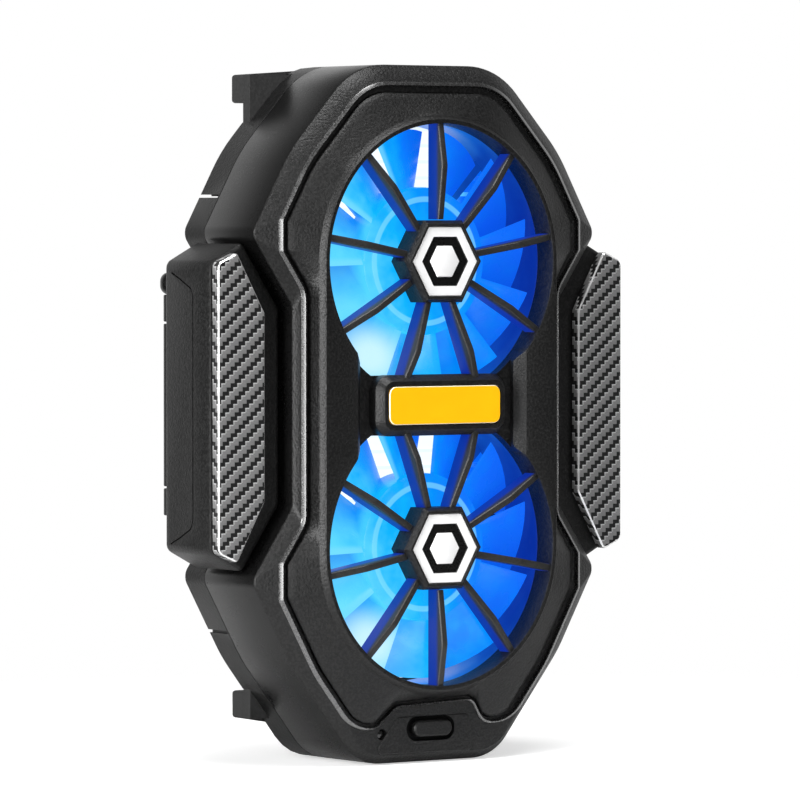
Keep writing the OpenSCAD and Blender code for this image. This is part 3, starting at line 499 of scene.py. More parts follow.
class Shape:
    """Points and faces of one piece. A face's mark is its place in the piece's list of materials."""

    def __init__(self):
        self.points, self.faces, self.marks = [], [], []

    def loft(self, rings, loop=False, marks=None):
        """A skin over rings of as many points each. It runs back to its first ring, or has a face at each end."""
        base, n, m = len(self.points), len(rings[0]), len(rings)
        marks = marks or [0] * m
        for ring in rings:
            self.points += [tuple(p) for p in ring]
        for k in range(m if loop else m - 1):
            near, far = base + k * n, base + (k + 1) % m * n
            for i in range(n):
                j = (i + 1) % n
                self.faces.append([near + i, near + j, far + j, far + i])
                self.marks.append(marks[k])
        if not loop:
            for k, mark in ((0, marks[0]), (m - 1, marks[-1])):
                self.faces.append([base + k * n + i for i in range(n)])
                self.marks.append(mark)
        return self

    def lathe(self, profile, axis_z, loop=False, segments=96, centre_x=0.0):
        """A profile of radius and depth, turned about an axis along Y."""
        turns = [2 * math.pi * k / segments for k in range(segments)]
        rings = [[(centre_x + r * math.cos(a), y, axis_z + r * math.sin(a)) for a in turns] for r, y in profile]
        return self.loft(rings, loop)

    def block(self, low, high, edge=0.15):
        """A box with chamfered edges."""
        low, high = Vector(low), Vector(high)
        middle, size = (low + high) / 2, high - low
        rings = []
        for y, d in ((low.y, edge), (low.y + edge, 0), (high.y - edge, 0), (high.y, edge)):
            w, h = size.x / 2 - d, size.z / 2 - d
            a, b = w - edge, h - edge
            ring = [(w, -b), (w, b), (a, h), (-a, h), (-w, b), (-w, -b), (-a, -h), (a, -h)]
            rings.append([(middle.x + x, y, middle.z + z) for x, z in ring])
        return self.loft(rings)

    def barrel(self, x, y, r, z0, z1, edge=0.2, segments=40, steps=4):
        """A rod along Z with rounded ends."""
        curve = [(edge * (1 - math.sin(a)), edge * (1 - math.cos(a))) for a in
                 (math.pi / 2 * k / steps for k in range(steps + 1))]
        ends = [(z0 + rise, d) for d, rise in curve] + [(z1 - rise, d) for d, rise in reversed(curve)]
        rings = []
        for z, d in ends:
            turns = [2 * math.pi * k / segments for k in range(segments)]
            rings.append([(x + (r - d) * math.cos(a), y + (r - d) * math.sin(a), z) for a in turns])
        return self.loft(rings)

    def turned(self, matrix):
        self.points = [tuple(matrix @ Vector(p)) for p in self.points]
        return self

    def join(self, other):
        base = len(self.points)
        self.points += other.points
        self.faces += [[base + i for i in f] for f in other.faces]
        self.marks += other.marks

    def mesh(self, name):
        mesh = bpy.data.meshes.new(name)
        mesh.from_pydata([place(*p) for p in self.points], [], self.faces)
        mesh.polygons.foreach_set("material_index", self.marks)
        return mesh

    def solid(self, sharp=35.0):
        return tidy(self.mesh("solid"), sharp)


def stacked(outline, sections, shift=(0, 0), loop=False):
    """A shape whose outline changes with depth. A section is a size for the outline, a depth and perhaps a mark."""
    rings = [level(outline(size), y, shift) for size, y, *_ in sections]
    return Shape().loft(rings, loop, [section[2] for section in sections if len(section) > 2])


def tidy(mesh, sharp=35.0, turn=True):
    """Merges doubles, points faces outwards and marks sharp edges."""
    work = bmesh.new()
    work.from_mesh(mesh)
    bmesh.ops.remove_doubles(work, verts=work.verts, dist=MERGE)
    if turn:
        bmesh.ops.recalc_face_normals(work, faces=work.faces)
    work.to_mesh(mesh)
    work.free()
    mesh.shade_smooth()
    mesh.set_sharp_from_angle(angle=math.radians(sharp))
    return mesh


def show(shape, name, materials, replaces=(), sharp=35.0, body="chassis", turn=True):
    """Puts a shape or a mesh in the scene as a piece that rides on a body."""
    mesh = shape.mesh(name) if isinstance(shape, Shape) else shape
    tidy(mesh, sharp, turn)
    mesh.name = name
    marks = [face.material_index for face in mesh.polygons]
    mesh.materials.clear()
    for material in materials:
        mesh.materials.append(material)
    mesh.polygons.foreach_set("material_index", [min(mark, len(materials) - 1) for mark in marks])
    piece = holder_of(mesh, name)
    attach(piece, body)
    if replaces:
        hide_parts(*replaces)
    return piece


def settled(holder):
    """The mesh of a holder with its modifiers applied. The holder is removed."""
    bpy.context.view_layer.update()
    graph = bpy.context.evaluated_depsgraph_get()
    mesh = bpy.data.meshes.new_from_object(holder.evaluated_get(graph))
    holder.modifiers.clear()
    bpy.data.objects.remove(holder)
    return mesh


def holder_of(data, name):
    """A new object in the scene with this mesh, lamp or camera."""
    holder = bpy.data.objects.new(name, data)
    bpy.context.collection.objects.link(holder)
    return holder


def carved(shape, cutters, materials=()):
    """A shape's mesh with other shapes cut out of it."""
    holder = holder_of(shape.solid(), "carving")
    for material in materials:
        holder.data.materials.append(material)
    knives = []
    for cutter in cutters:
        knife = holder_of(cutter.solid(), "knife")
        knives.append(knife)
        cut = holder.modifiers.new("cut", "BOOLEAN")
        cut.object, cut.operation, cut.solver = knife, "DIFFERENCE", "EXACT"
    result = settled(holder)
    for knife in knives:
        bpy.data.objects.remove(knife)
    return result


def eased_copy(node, width):
    """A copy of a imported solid, merged, with its flat faces joined and its edges rounded over."""
    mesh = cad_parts[node].data.copy()
    work = bmesh.new()
    work.from_mesh(mesh)
    bmesh.ops.remove_doubles(work, verts=work.verts, dist=MERGE)
    bmesh.ops.dissolve_limit(work, angle_limit=math.radians(1), verts=work.verts, edges=work.edges)
    work.to_mesh(mesh)
    work.free()
    if "sharp_edge" in mesh.attributes:
        mesh.attributes.remove(mesh.attributes["sharp_edge"])
    holder = holder_of(mesh, "easing")
    ease = holder.modifiers.new("ease", "BEVEL")
    ease.width, ease.segments = width * MM, 2
    ease.limit_method, ease.angle_limit = "ANGLE", math.radians(30)
    return settled(holder)


# Copies of one item, in a row or round an axis

def start_tree(name, inputs):
    """A geometry tree with an item, named sizes, a place and a finish as its inputs."""
    tree = bpy.data.node_groups.new(name, "GeometryNodeTree")
    for socket, kind in (("Item", "Geometry"), *inputs, ("Place", "Vector"), ("Finish", "Material")):
        tree.interface.new_socket(socket, in_out="INPUT", socket_type="NodeSocket" + kind)
    tree.interface.new_socket("Set", in_out="OUTPUT", socket_type="NodeSocketGeometry")
    plan = Plan(tree)
    return plan, plan.outputs("NodeGroupInput")


def end_tree(plan, made, finish):
    """Makes the copies real and gives them their finish."""
    real = plan.add("GeometryNodeRealizeInstances", (), {0: made})
    done = plan.add("GeometryNodeSetMaterial", (), {"Geometry": real, "Material": finish})
    plan.add("NodeGroupOutput", (), {0: done})
    return plan.tree


def spread_tree():
    """Copies the item it is given along a step and round the Y axis, then moves the set to its place."""
    plan, take = start_tree("spread", (
        ("Count", "Int"), ("Step", "Vector"), ("Turn", "Float"), ("First turn", "Float")))
    spots = plan.add("GeometryNodeMeshLine", {"mode": "OFFSET"}, {"Count": take["Count"], "Offset": take["Step"]})
    index = plan.add("GeometryNodeInputIndex")
    angle = take["First turn"] + index * take["Turn"]
    turn = plan.add("FunctionNodeAxisAngleToRotation", (), {"Axis": (0, 1, 0), "Angle": angle})
    copies = plan.add("GeometryNodeInstanceOnPoints", (),
                      {"Points": spots, "Instance": take["Item"], "Rotation": turn})
    placed = plan.add("GeometryNodeTransform", (), {"Geometry": copies, "Translation": take["Place"]})
    return end_tree(plan, placed, take["Finish"])


def coil_tree():
    """A wire wound along X."""
    plan, take = start_tree("coil", (("Turns", "Float"), ("Radius", "Float"), ("Length", "Float"), ("Wire", "Float")))
    wound = plan.add("GeometryNodeCurveSpiral", (), {
        "Resolution": 14, "Rotations": take["Turns"], "Start Radius": take["Radius"],
        "End Radius": take["Radius"], "Height": take["Length"]})
    laid = plan.add("GeometryNodeTransform", (), {
        "Geometry": wound, "Translation": take["Place"], "Rotation": (0, math.radians(90), 0)})
    section = plan.add("GeometryNodeCurvePrimitiveCircle", (), {"Resolution": 8, "Radius": take["Wire"]})
    wire = plan.add("GeometryNodeCurveToMesh", (), {"Curve": laid, "Profile Curve": section, "Fill Caps": True})
    return end_tree(plan, wire, take["Finish"])


SPREAD, COIL = spread_tree(), coil_tree()


def grown(item, tree, **sizes):
    """The plain mesh that a tree makes from an item."""
    holder = holder_of(item, "growing")
    grow = holder.modifiers.new("grow", "NODES")
    grow.node_group = tree
    names = {s.name: s.identifier for s in tree.interface.items_tree if s.in_out == "INPUT"}
    for name, value in sizes.items():
        grow[names[name.replace("_", " ")]] = value
    return settled(holder)


def spread(item, finish, count, at, step=(0, 0, 0), turn=0.0, start=0.0):
    """Copies of an item, a step or a turn apart."""
    return grown(item, SPREAD, Count=count, Step=step, Turn=turn, First_turn=start, Place=at, Finish=finish)


def item_mesh(shape, sharp=35.0):
    """An item for spreading, in metres about its own origin."""
    mesh = bpy.data.meshes.new("item")
    mesh.from_pydata([tuple(c * MM for c in p) for p in shape.points], [], shape.faces)
    return tidy(mesh, sharp)


def merged(meshes):
    """Several meshes as one. Their materials are set later, from the marks."""
    work = bmesh.new()
    for mesh in meshes:
        work.from_mesh(mesh)
    out = bpy.data.meshes.new("merged")
    work.to_mesh(out)
    work.free()
    return out


# Front

def foot_lift(x):
    """How far the bead and the plate's lower edge rise at this X."""
    for (x0, lift0), (x1, lift1) in zip(FOOT_LIFT, FOOT_LIFT[1:]):
        if x0 <= x <= x1:
            share = (x - x0) / (x1 - x0)
            return lift0 + (lift1 - lift0) * share
    return 0.0


def footed(ring, share=0.0, lean=0.0):
    """A body ring with its bottom edge split, and a share of the rise over the button."""
    last, first = ring[-1], ring[0]
    out = []
    for p in list(ring) + [last.lerp(first, k / FOOT_PIECES) for k in range(1, FOOT_PIECES)]:
        x = p.x + lean if p.x < 0 else p.x - lean
        lift = foot_lift(x) * share if p.y < FOOT_TOP else 0.0
        out.append(Vector((p.x, p.y + lift)))
    return out


def bead_ring(e):
    """The ring this far inside the bead's outer edge. At the bead's span it lies on the plate's edge."""
    values = [b + (q - b) / BEAD_SPAN * e for b, q in zip(BEAD_IN, PLATE_IN)]
    return footed(body_ring(values, 1.0, BEAD_FOOT + e * BEAD_FOOT_SHARE), 1.0 - 0.03 * e, 0.2 * e)


def plate_ring(e):
    """The ring this far inside the plate's edge."""
    return footed(body_ring([d + e for d in PLATE_IN], 1.0, PLATE_FOOT + e), 0.95, 0.35)


def bezel_rings():
    """The bezel from its outer rim over the chamfer, the bead and the groove to the ledge under the plate."""
    def rim(d):
        return footed(body_ring(even(d)))
    lip = footed(body_ring([d * 0.8 for d in BEAD_IN], 0.6, 1.3))
    sections = [(rim(0), RIM_Y + 0.02, 0), (rim(0.04), 4.24, 0), (rim(0.12), 4.12, 0), (lip, 3.06, 0)]
    # Mark 1 is the bead's painted highlight.
    sections += [(bead_ring(e), y, mark) for e, y, mark in (
        (-0.1, 2.88, 0), (-0.03, 2.84, 1), (0.02, 2.72, 1), (0.07, 2.68, 1), (0.5, 2.45, 1), (0.57, 2.46, 1),
        (0.65, 2.62, 1), (0.7, 3.34, 0))]
    sections += [(plate_ring(e), y, 0) for e, y in ((-0.08, 3.36), (-0.04, 3.95), (0.6, 3.95), (0.6, 5.0))]
    sections += [(rim(WALL + 0.15), y, 0) for y in (5.0, RIM_Y + 0.02)]
    return [level(ring, y) for ring, y, _ in sections], [mark for _, _, mark in sections]


def button_cutters():
    """The recess round the button, the button's hole and the pocket for its flange."""
    def cutter(longer, higher, sections, shift=0.0):
        return stacked(lambda d: pill_ring(BUTTON_L + longer - d, BUTTON_H + higher - d), sections, (shift, BUTTON_Z))
    recess = cutter(1.9, 1.3, [(0, 1.5), (0, 2.81), (0.12, 3.0), (0.16, 3.7)], -0.25)
    return [recess, cutter(0.3, 0.3, [(0, 0), (0, 6)]), cutter(2.4, 2.4, [(0, 3.62), (0, 6)])]


def panel_mesh():
    """The flat panel round the button."""
    outline = rounded(PANEL, PANEL_RADII, 5)
    inner = inset_ring(PANEL, PANEL_RADII, 0.14, 0.4, 5)
    body = Shape().loft([level(inner, 2.8), level(outline, 2.9), level(outline, RIM_Y)])
    return carved(body, button_cutters())


def build_bezel():
    rings, marks = bezel_rings()
    rim = Shape().loft(rings, loop=True, marks=marks)
    finishes = [BEZEL_BLACK, BEAD_HIGHLIGHT]
    light = Shape().lathe([(0.85, 0), (0.85, 6)], LIGHT_Z, segments=32, centre_x=LIGHT_X)
    mesh = merged([carved(rim, [light] + button_cutters(), finishes), tidy(panel_mesh(), 30)])
    show(mesh, "bezel", finishes, ["front_bezel"], 28, turn=False)


def plateau(ring, r):
    """A slot shape round both fan axes, as the plateau's edge is."""
    out = []
    for p in ring:
        axis = Vector((0, max(-FAN_Z, min(FAN_Z, p.y))))
        out.append(axis + (p - axis).normalized() * r)
    return out


def opening(ring, grow, flare=0.0):
    """The edge of the fan openings and the neck between them, which can flare out."""
    r = OPENING_R + grow
    out = plateau(ring, r)
    for i, p in enumerate(ring):
        drop = FAN_Z - abs(p.y)
        if drop > 0:
            half = max(NECK_HALF + grow + flare, math.sqrt(max(0.0, r * r - drop * drop)))
            out[i] = Vector((math.copysign(half, p.x), p.y))
    return out


def plate_shape():
    """The plate: it slopes up from its edge, over the button, to the plateau round both fans."""
    edge = split_edges(plate_ring(0.0), 0.5)
    crest = plateau(edge, PLATEAU_R + 0.05)

    def slope(share):
        return [p.lerp(c, share) for p, c in zip(edge, crest)]
    flared, inner = opening(edge, 0.04, NECK_FLARE), opening(edge, 0)
    chamfer = [(p.x, 0.17 + max(0.0, abs(q.x) - abs(p.x) - 0.04), p.y) for p, q in zip(inner, flared)]
    rings = [level(edge, FAN_Y), level(edge, 2.9), level(slope(0.02), 2.78)]
    rings += [level(slope(0.1 + 0.9 * k / 6), 2.5 - 1.55 * k / 6) for k in range(7)]
    rings += [
        level(plateau(edge, PLATEAU_R - 0.05), 0.78), level(plateau(edge, PLATEAU_R - 0.5), 0.1),
        level(plateau(edge, PLATEAU_R - 0.62), 0.0), level(opening(edge, 0.14, NECK_FLARE), 0.0), level(flared, 0.05),
        chamfer, level(inner, FAN_Y),
    ]
    return Shape().loft(rings, loop=True)


def neck_floor():
    """The floor of the neck: flat between the openings, cut by both fan circles."""
    rows, steps, half = [], 40, NECK_HALF + 0.3
    for k in range(steps + 1):
        x = -half + 2 * half * k / steps
        reach = FAN_Z - math.sqrt(max(0.0, OPENING_R ** 2 - x * x))
        rows.append((x, max(reach, 4.4) if abs(x) < 11.7 else reach))
    ring = rows + [(x, -z) for x, z in reversed(rows)]
    return Shape().loft([level(ring, NECK_Y), level(ring, FAN_Y)])


def hub_shape(axis_z):
    inner = HUB_R - HUB_WALL
    return stacked(hexagon, (
        (HUB_R, 3.4), (HUB_R, 0.2), (6.96, 0.08), (6.45, -0.62), (6.34, -0.7), (6.06, -0.7), (5.94, -0.62),
        (inner, -0.5), (inner, 0.4)), (0, axis_z))


def rib_item():
    """One rib pointing up: rounded along its top, highest at its kink."""
    stations = [(6.2, 0.5), (10.0, -0.01), (13.7, -0.51), (14.2, -0.55), (14.7, -0.48), (17.5, 0.02), (20.5, 0.5)]
    flank = [(RIB_HALF, 0.3), (RIB_HALF - 0.05, 0.14), (RIB_HALF - 0.18, 0.03)]
    rings = []
    for r, top in stations:
        section = [(-RIB_HALF, RIB_BACK_Y)] + [(-x, top + d) for x, d in flank] + [(0, top)]
        section += [(x, top + d) for x, d in reversed(flank)] + [(RIB_HALF, RIB_BACK_Y)]
        rings.append([(x, y, r) for x, y in section])
    return Shape().loft(rings)


def build_grille():
    mesh = merged([plate_shape().solid(30), neck_floor().solid(),
                   hub_shape(FAN_Z).solid(20), hub_shape(-FAN_Z).solid(20)])
    show(mesh, "grille_plate", [BEZEL_BLACK], ["front_grille"], 34, turn=False)
    for name, axis_z, start in FANS:
        ribs = spread(item_mesh(rib_item()), RIB_BLACK, RIBS, place(0, 0, axis_z),
                      turn=2 * math.pi / RIBS, start=start)
        show(ribs, name + "_grille_ribs", [RIB_BLACK])


def medallion(axis_z):
    """A hexagonal cap of raised steps: white, black and white again."""
    r = HUB_R - HUB_WALL - 0.04
    return stacked(hexagon, (
        (r, 0.4, 1), (r, -0.42, 1), (r - 0.1, -0.5, 1), (4.2, -0.5, 0), (4.12, -0.42, 0), (4.06, -0.3, 0),
        (2.66, -0.3, 1), (2.6, -0.42, 1), (2.52, -0.54, 1), (2.3, -0.6, 1)), (0, axis_z))


def build_medallions():
    for name, axis_z, _ in FANS:
        show(medallion(axis_z), name + "_medallion",
             [SATIN_BLACK, WHITE], [name + "_hub_cap"], 25)


def build_badge():
    def rings(sections):
        return [level(box_ring(BADGE_L + more, BADGE_H + more, r), y) for more, r, y in sections]
    rim = 2 * BADGE_BORDER
    base = rim + 2 * BADGE_SLOPE
    surround = Shape().loft(rings([
        (base, 2.4, NECK_Y + 0.02), (base, 2.4, 0.74), (base - 0.04, 2.38, 0.68), (rim + 0.04, 1.62, -0.46),
        (rim - 0.06, 1.57, -0.5), (0.3, 1.35, -0.5), (0.2, 1.3, -0.42), (0, 1.2, 0.1)]))
    show(surround, "badge_surround", [SHELL_BLACK], ["badge_frame"], 18)
    # The face's bevel, mark 1, is a painted highlight.
    face = Shape().loft(rings([(-0.08, 1.2, 0.1), (-0.08, 1.2, -0.47), (-0.28, 1.1, -0.6), (-0.32, 1.08, -0.6)]),
                        marks=[0, 1, 0])
    show(face, "badge_face", [YELLOW, BADGE_HIGHLIGHT], ["badge_plate"], 18)


def build_button():
    # The flange, mark 1, is painted shade at the recess floor.
    shape = stacked(lambda d: pill_ring(BUTTON_L + 2 * d, BUTTON_H + 2 * d), (
        (1, 4.3, 1), (1, 3.75, 1), (0, 3.7, 0), (0, 2.58, 0), (-0.03, 2.52, 0), (-0.22, 2.33, 0), (-0.28, 2.3, 0)),
        (0, BUTTON_Z))
    show(shape, "push_button", [SHELL_BLACK, RECESS_SHADE], ["button"], 25, "button")
    lens = Shape().lathe([(0.05, 3.35), (0.35, 3.38), (0.55, 3.45), (0.65, 3.6), (0.65, 7.6)],
                         LIGHT_Z, segments=32, centre_x=LIGHT_X)
    show(lens, "light_lens_dome", [LENS], ["light_lens"])


# Casing

def build_mid_shell():
    wall = stacked(lambda d: body_ring(even(d)), (
        (WALL, RIM_Y), (0.14, RIM_Y + 0.04), (0.04, RIM_Y + 0.1), (0, RIM_Y + 0.22),
        (0, SEAM_Y - 0.2), (0.04, SEAM_Y - 0.08), (0.14, SEAM_Y - 0.02), (WALL, SEAM_Y)), loop=True)
    cutters = []
    for i in range(VENTS):
        z = (i - (VENTS - 1) / 2) * VENT_STEP
        for low, high in ((-28, -20), (20, 28)):
            cutters.append(Shape().block((low, VENT_Y, z - VENT_HALF), (high, VENT_BACK_Y, z + VENT_HALF), 0.4))
    port = pill_ring(PORT_L, PORT_H)
    cutters.append(Shape().loft([[(p.x, PORT_Y + p.y, z) for p in port] for z in (-56, -50)]))
    show(carved(wall, cutters), "middle_shell", [SATIN_BLACK], ["mid_shell"], 28)


def build_back():
    show(eased_copy("rear_cover", 0.3), "back_cover", [SHELL_BLACK], ["rear_cover"], 18)
    show(eased_copy("rear_plate", 0.15), "back_plate", [RUBBER], ["rear_plate"], 18)
    face = stacked(lambda d: box_ring(COLD_W - 2 * d, COLD_H - 2 * d, COLD_R - d, 8), (
        (0, BACK_Y), (0, 24.9), (0.12, 25.35), (0.45, 25.64), (0.9, PHONE_Y)))
    for z in (-FAN_Z, FAN_Z):
        face.block((-MODULE_HALF, 20.1, z - MODULE_HALF), (MODULE_HALF, BACK_Y + 0.1, z + MODULE_HALF), 0.2)
    show(face, "cold_face", [ALUMINIUM], ["cold_plate"], 40)


def pad_shape(edge, h, arch, way):
    """A soft silicone strip whose outer edge rises towards the middle, crowned along its back."""
    half = PAD_W / 2
    flat = half / 2.2
    corners = both([(half, edge - h), (half, edge), (flat, edge + arch)])

    def ring(d):
        return [(p.x, p.y * way) for p in inset_ring(corners, [0.5, 0.5, 4, 4, 0.5, 0.5], d, 0.25)]
    return stacked(ring, ((0, BACK_Y), (0, 25.2), (0.06, 25.42), (0.2, 25.58), (0.5, 25.66), (1.1, PHONE_Y)))


def build_pads():
    for name, sizes in (("top_pad", (48.9, 4.2, 0.75, 1)), ("bottom_pad", (46.9, 4.0, 1.9, -1))):
        pad = show(pad_shape(*sizes), name + "_silicone", [RUBBER], [name], 50)
    for side in ("left", "right"):
        low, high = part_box(side + "_claw_pad")
        w, h = (high.x - low.x) / MM, (high.z - low.z) / MM
        x = (high.x + low.x) / 2 / MM
        front, back = low.y / MM + CENTRE_Y, high.y / MM + CENTRE_Y
        shape = stacked(lambda d: box_ring(w - 2 * d, h - 2 * d, 0.9), (
            (0.9, front), (0.4, front + 0.05), (0.12, front + 0.2), (0, front + 0.4), (0, back)), (x, 0))
        pad = show(shape, side + "_claw_silicone", [RUBBER],
                   [side + "_claw_pad"], 50, side + "_claw")


def build_screws():
    """Four pan-head screws with a cross recess."""
    head = Shape().lathe([(0.2, 22.28), (1.2, 22.26), (1.7, 22.16), (1.9, 21.9), (1.9, 21.4), (0.9, 21.4),
                          (0.9, 11.3)], 0, segments=40)
    cross = [Shape().block((-1.1, 21.85, -0.25), (1.1, 23, 0.25), 0.05),
             Shape().block((-0.25, 21.85, -1.1), (0.25, 23, 1.1), 0.05)]
    screw = carved(head, cross)
    parts = []
    for x, z in SCREWS:
        item = screw.copy()
        item.transform(Matrix.Translation((-x * MM, 0, 0)))
        parts.append(spread(item, STEEL, 2, (0, 0, z * MM), (2 * x * MM, 0, 0)))
    show(merged(parts), "back_screws", [STEEL], ["rear_screws"], 30)


# Fans

def blade_item():
    """One blade pointing up: a helix that runs back to the right, with a little camber and thin edges."""
    radii = [10.5, 11.5, 13, 14.5, 16, 17.5, 18.8, 19.6]
    width = math.radians(360 / BLADES * BLADE_COVER)
    across = [-1, -0.85, -0.6, -0.3, 0, 0.3, 0.6, 0.85, 1]
    rings = []
    for r in radii:
        near, far = [], []
        for s in across:
            angle = s * width / 2 + 0.35 * (1 - s * s) / r
            half = 0.3 * math.sqrt(max(0.04, 1 - s * s)) + 0.05
            for side, sign in ((near, 1), (far, -1)):
                a = angle + sign * half / r
                side.append((r * math.sin(a), s * BLADE_DEPTH / 2, r * math.cos(a)))
        rings.append(near + far[::-1])
    return Shape().loft(rings)


def build_fans():
    for name, axis_z, _ in FANS:
        cup = Shape().lathe([
            (0.2, 4.72), (6.0, 4.7), (8.6, 4.7), (8.75, 4.56), (8.95, 4.52), (9.4, 4.52), (9.6, 4.56),
            (9.75, 4.7), (10.5, 4.74), (10.9, 4.95), (11, 5.4), (11, 10.0),
            (9.8, 10.0), (9.8, 5.6), (2.2, 5.6)], axis_z)
        blades = spread(item_mesh(blade_item(), 40), FAN_BLUE, BLADES, place(0, BLADE_Y, axis_z),
                        turn=2 * math.pi / BLADES, start=math.radians(BLADE_START))
        mesh = merged([cup.solid(40), blades])
        show(mesh, name + "_fan", [FAN_BLUE], [name + "_impeller"], 40, name + "_rotor", False)
        duct = Shape().lathe([
            (21.3, FAN_Y), (20.55, FAN_Y), (20.38, 4.0), (OPENING_R, 4.2), (OPENING_R, 11.3), (20.5, FAN_BACK_Y),
            (21.3, FAN_BACK_Y)], axis_z, loop=True)
        duct.lathe([(0.8, STRUT_Y), (9.0, STRUT_Y), (9.4, 10.9), (9.4, FAN_BACK_Y), (0.8, FAN_BACK_Y)],
                   axis_z, loop=True)
        for k in range(4):
            strut = Shape().block((-0.9, STRUT_Y, 8.6), (0.9, FAN_BACK_Y, 20.8), 0.12)
            turn = Matrix.Rotation(math.radians(45 + 90 * k), 4, "Y")
            duct.join(strut.turned(Matrix.Translation((0, 0, axis_z)) @ turn))
        show(duct, name + "_duct", [DUCT_BLUE], [name + "_fan_frame"], 40)


def build_heat_sink():
    """A finned block that narrows at its ends to pass the screw posts."""
    parts = []
    for half, first, count in ((FIN_HALF, -36.0, 31), (FIN_END_HALF, -40.8, 2), (FIN_END_HALF, 38.4, 2)):
        last = first + (count - 1) * FIN_STEP
        base = Shape().block((-half, FIN_BASE_Y, first - 0.5), (half, 16.9, last + 0.5))
        fin = Shape().block((-half, FIN_Y - CENTRE_Y, -0.3), (half, FIN_BASE_Y + 0.1 - CENTRE_Y, 0.3), 0.08)
        parts.append(base.solid())
        parts.append(spread(item_mesh(fin, 20), FIN_METAL, count, (0, 0, (FOOT_H + first) * MM),
                            (0, 0, FIN_STEP * MM)))
    link = Shape().block((-FIN_END_HALF, FIN_BASE_Y + 0.1, -41.2), (FIN_END_HALF, 16.8, 41.2))
    parts.append(link.solid())
    show(merged(parts), "fin_stack", [FIN_METAL], ["heat_sink"], 20, turn=False)


# Arms

def crease_cutter():
    """A fine groove on the arm's outer face, from the back round to the front and back again."""
    path = [Vector(p) for p in CREASE_PATH]
    low, high = ARM_OUT - CREASE_D, ARM_OUT + 0.5
    rings = []
    for i, p in enumerate(path):
        along = (path[min(i + 1, len(path) - 1)] - path[max(i - 1, 0)]).normalized()
        side = left_of(along) * CREASE_W / 2
        across = ((high, p - side), (high, p + side), (low, p + side * 0.3), (low, p - side * 0.3))
        rings.append([(x, spot.x, -spot.y) for x, spot in across])
    return Shape().loft(rings)


def arm_meshes():
    """The right arm: its creased wall, the step under its trim, the tongue and the lugs for its claw."""
    wall = stacked(lambda d: inset_ring(ARM_OUTLINE, ARM_RADII, d, 0.4, 8), (
        (0.75, 6.75), (0.5, 6.78), (0.16, 6.98), (0, 7.35), (0, 18.1), (0.1, 18.42), (0.35, 18.68),
        (0.65, ARM_BACK_Y)))
    step = inset_ring(TRIM_OUTLINE, TRIM_RADII, 0.6, 0.3)
    shape = Shape().loft([level(step, 6.12), level(step, 7.0)])
    shape.block((ARM_IN - 4.4, TONGUE_Y, -9.2), (ARM_IN + 2, ARM_BACK_Y, 9.2))
    for z in (-LUG_Z - LUG_L, LUG_Z):
        shape.barrel(CLAW_X, CLAW_Y, KNUCKLE_R, z, z + LUG_L)
        shape.block((CLAW_X - KNUCKLE_R, 18.0, z), (CLAW_X + KNUCKLE_R, CLAW_Y, z + LUG_L))
    return [carved(wall, [crease_cutter()]), shape.solid(28)]


def rack_meshes():
    """The rack under the pinion and its teeth."""
    start = RACK_FIRST * RACK_PITCH
    bar = Shape().block((start - 1, TONGUE_Y, -5.65), (ARM_IN, ARM_BACK_Y, -3.75), 0.1)
    tip, root = 0.358 - 0.175, 0.358 + 0.3
    tooth = [(-root, 3.8), (root, 3.8), (tip, 2.52), (-tip, 2.52)]
    item = Shape().loft([[(x, y - CENTRE_Y, -z) for x, z in tooth] for y in (TONGUE_Y, ARM_BACK_Y)])
    teeth = spread(item_mesh(item), SATIN_BLACK, RACK_TEETH, (start * MM, 0, FOOT_H * MM), (RACK_PITCH * MM, 0, 0))
    return [bar.solid(), teeth]


def trim_shape():
    # Mark 1, the front chamfer, carries the painted highlight.
    return stacked(lambda d: inset_ring(TRIM_OUTLINE, TRIM_RADII, d, 0.25, 8), (
        (0.3, 4.65, 0), (0.26, 4.65, 1), (0.07, 4.83, 0), (0, 4.93, 0), (0, 6.15, 0)))


def claw_shape():
    """The right claw: a knuckle, a blade and a lip."""
    near, inner = CLAW_X - CLAW_L, CLAW_Y - 0.25
    shape = Shape().barrel(CLAW_X, CLAW_Y, KNUCKLE_R, -CLAW_W / 2, CLAW_W / 2, 0.15)
    shape.block((near, inner, -CLAW_W / 2), (CLAW_X, inner + CLAW_T, CLAW_W / 2), 0.3)
    shape.block((near, inner - 1.75, -CLAW_W / 2), (near + 1.5, inner + CLAW_T, CLAW_W / 2), 0.3)
    return shape


def build_arms():
    home = Matrix.Translation((0, 0, FOOT_H * MM))
    for side, turn in (("right", 0.0), ("left", math.pi)):
        half_turn = home @ Matrix.Rotation(turn, 4, "Y") @ home.inverted()
        across = Matrix.Scale(-1 if turn else 1, 4, (1, 0, 0))
        parts = arm_meshes() + rack_meshes()
        for mesh in parts:
            mesh.transform(half_turn)
        end = LUG_Z + LUG_L
        pin = Shape().barrel(CLAW_X, CLAW_Y, PIN_R, -end, end + 0.2, 0.1, 24)
        pin.barrel(CLAW_X, CLAW_Y, PIN_HEAD_R, end, end + PIN_HEAD_L, 1.3, 40, 6)
        arm = side + "_arm"
        show(merged(parts), arm + "_shell", [SHELL_BLACK], [arm], 28, arm, False)
        show(trim_shape().turned(across), side + "_weave_trim", [CARBON, TRIM_HIGHLIGHT],
             [side + "_trim"], 18, arm)
        show(claw_shape().turned(across), side + "_fold_claw", [SHELL_BLACK],
             [side + "_claw"], 28, side + "_claw")
        show(pin.turned(across), side + "_hinge_pin", [SATIN_BLACK], [side + "_claw_pin"], 30, arm)


def build_springs():
    for name, z in (("upper", SPRING_Z), ("lower", -SPRING_Z)):
        empty = bpy.data.meshes.new("wire")
        wire = grown(empty, COIL, Turns=18.0, Radius=SPRING_R * MM, Length=SPRING_L * MM, Wire=SPRING_WIRE * MM,
                     Place=place(-SPRING_L / 2, SPRING_Y, z), Finish=STEEL)
        show(wire, name + "_coil", [STEEL], [name + "_spring"], 60)


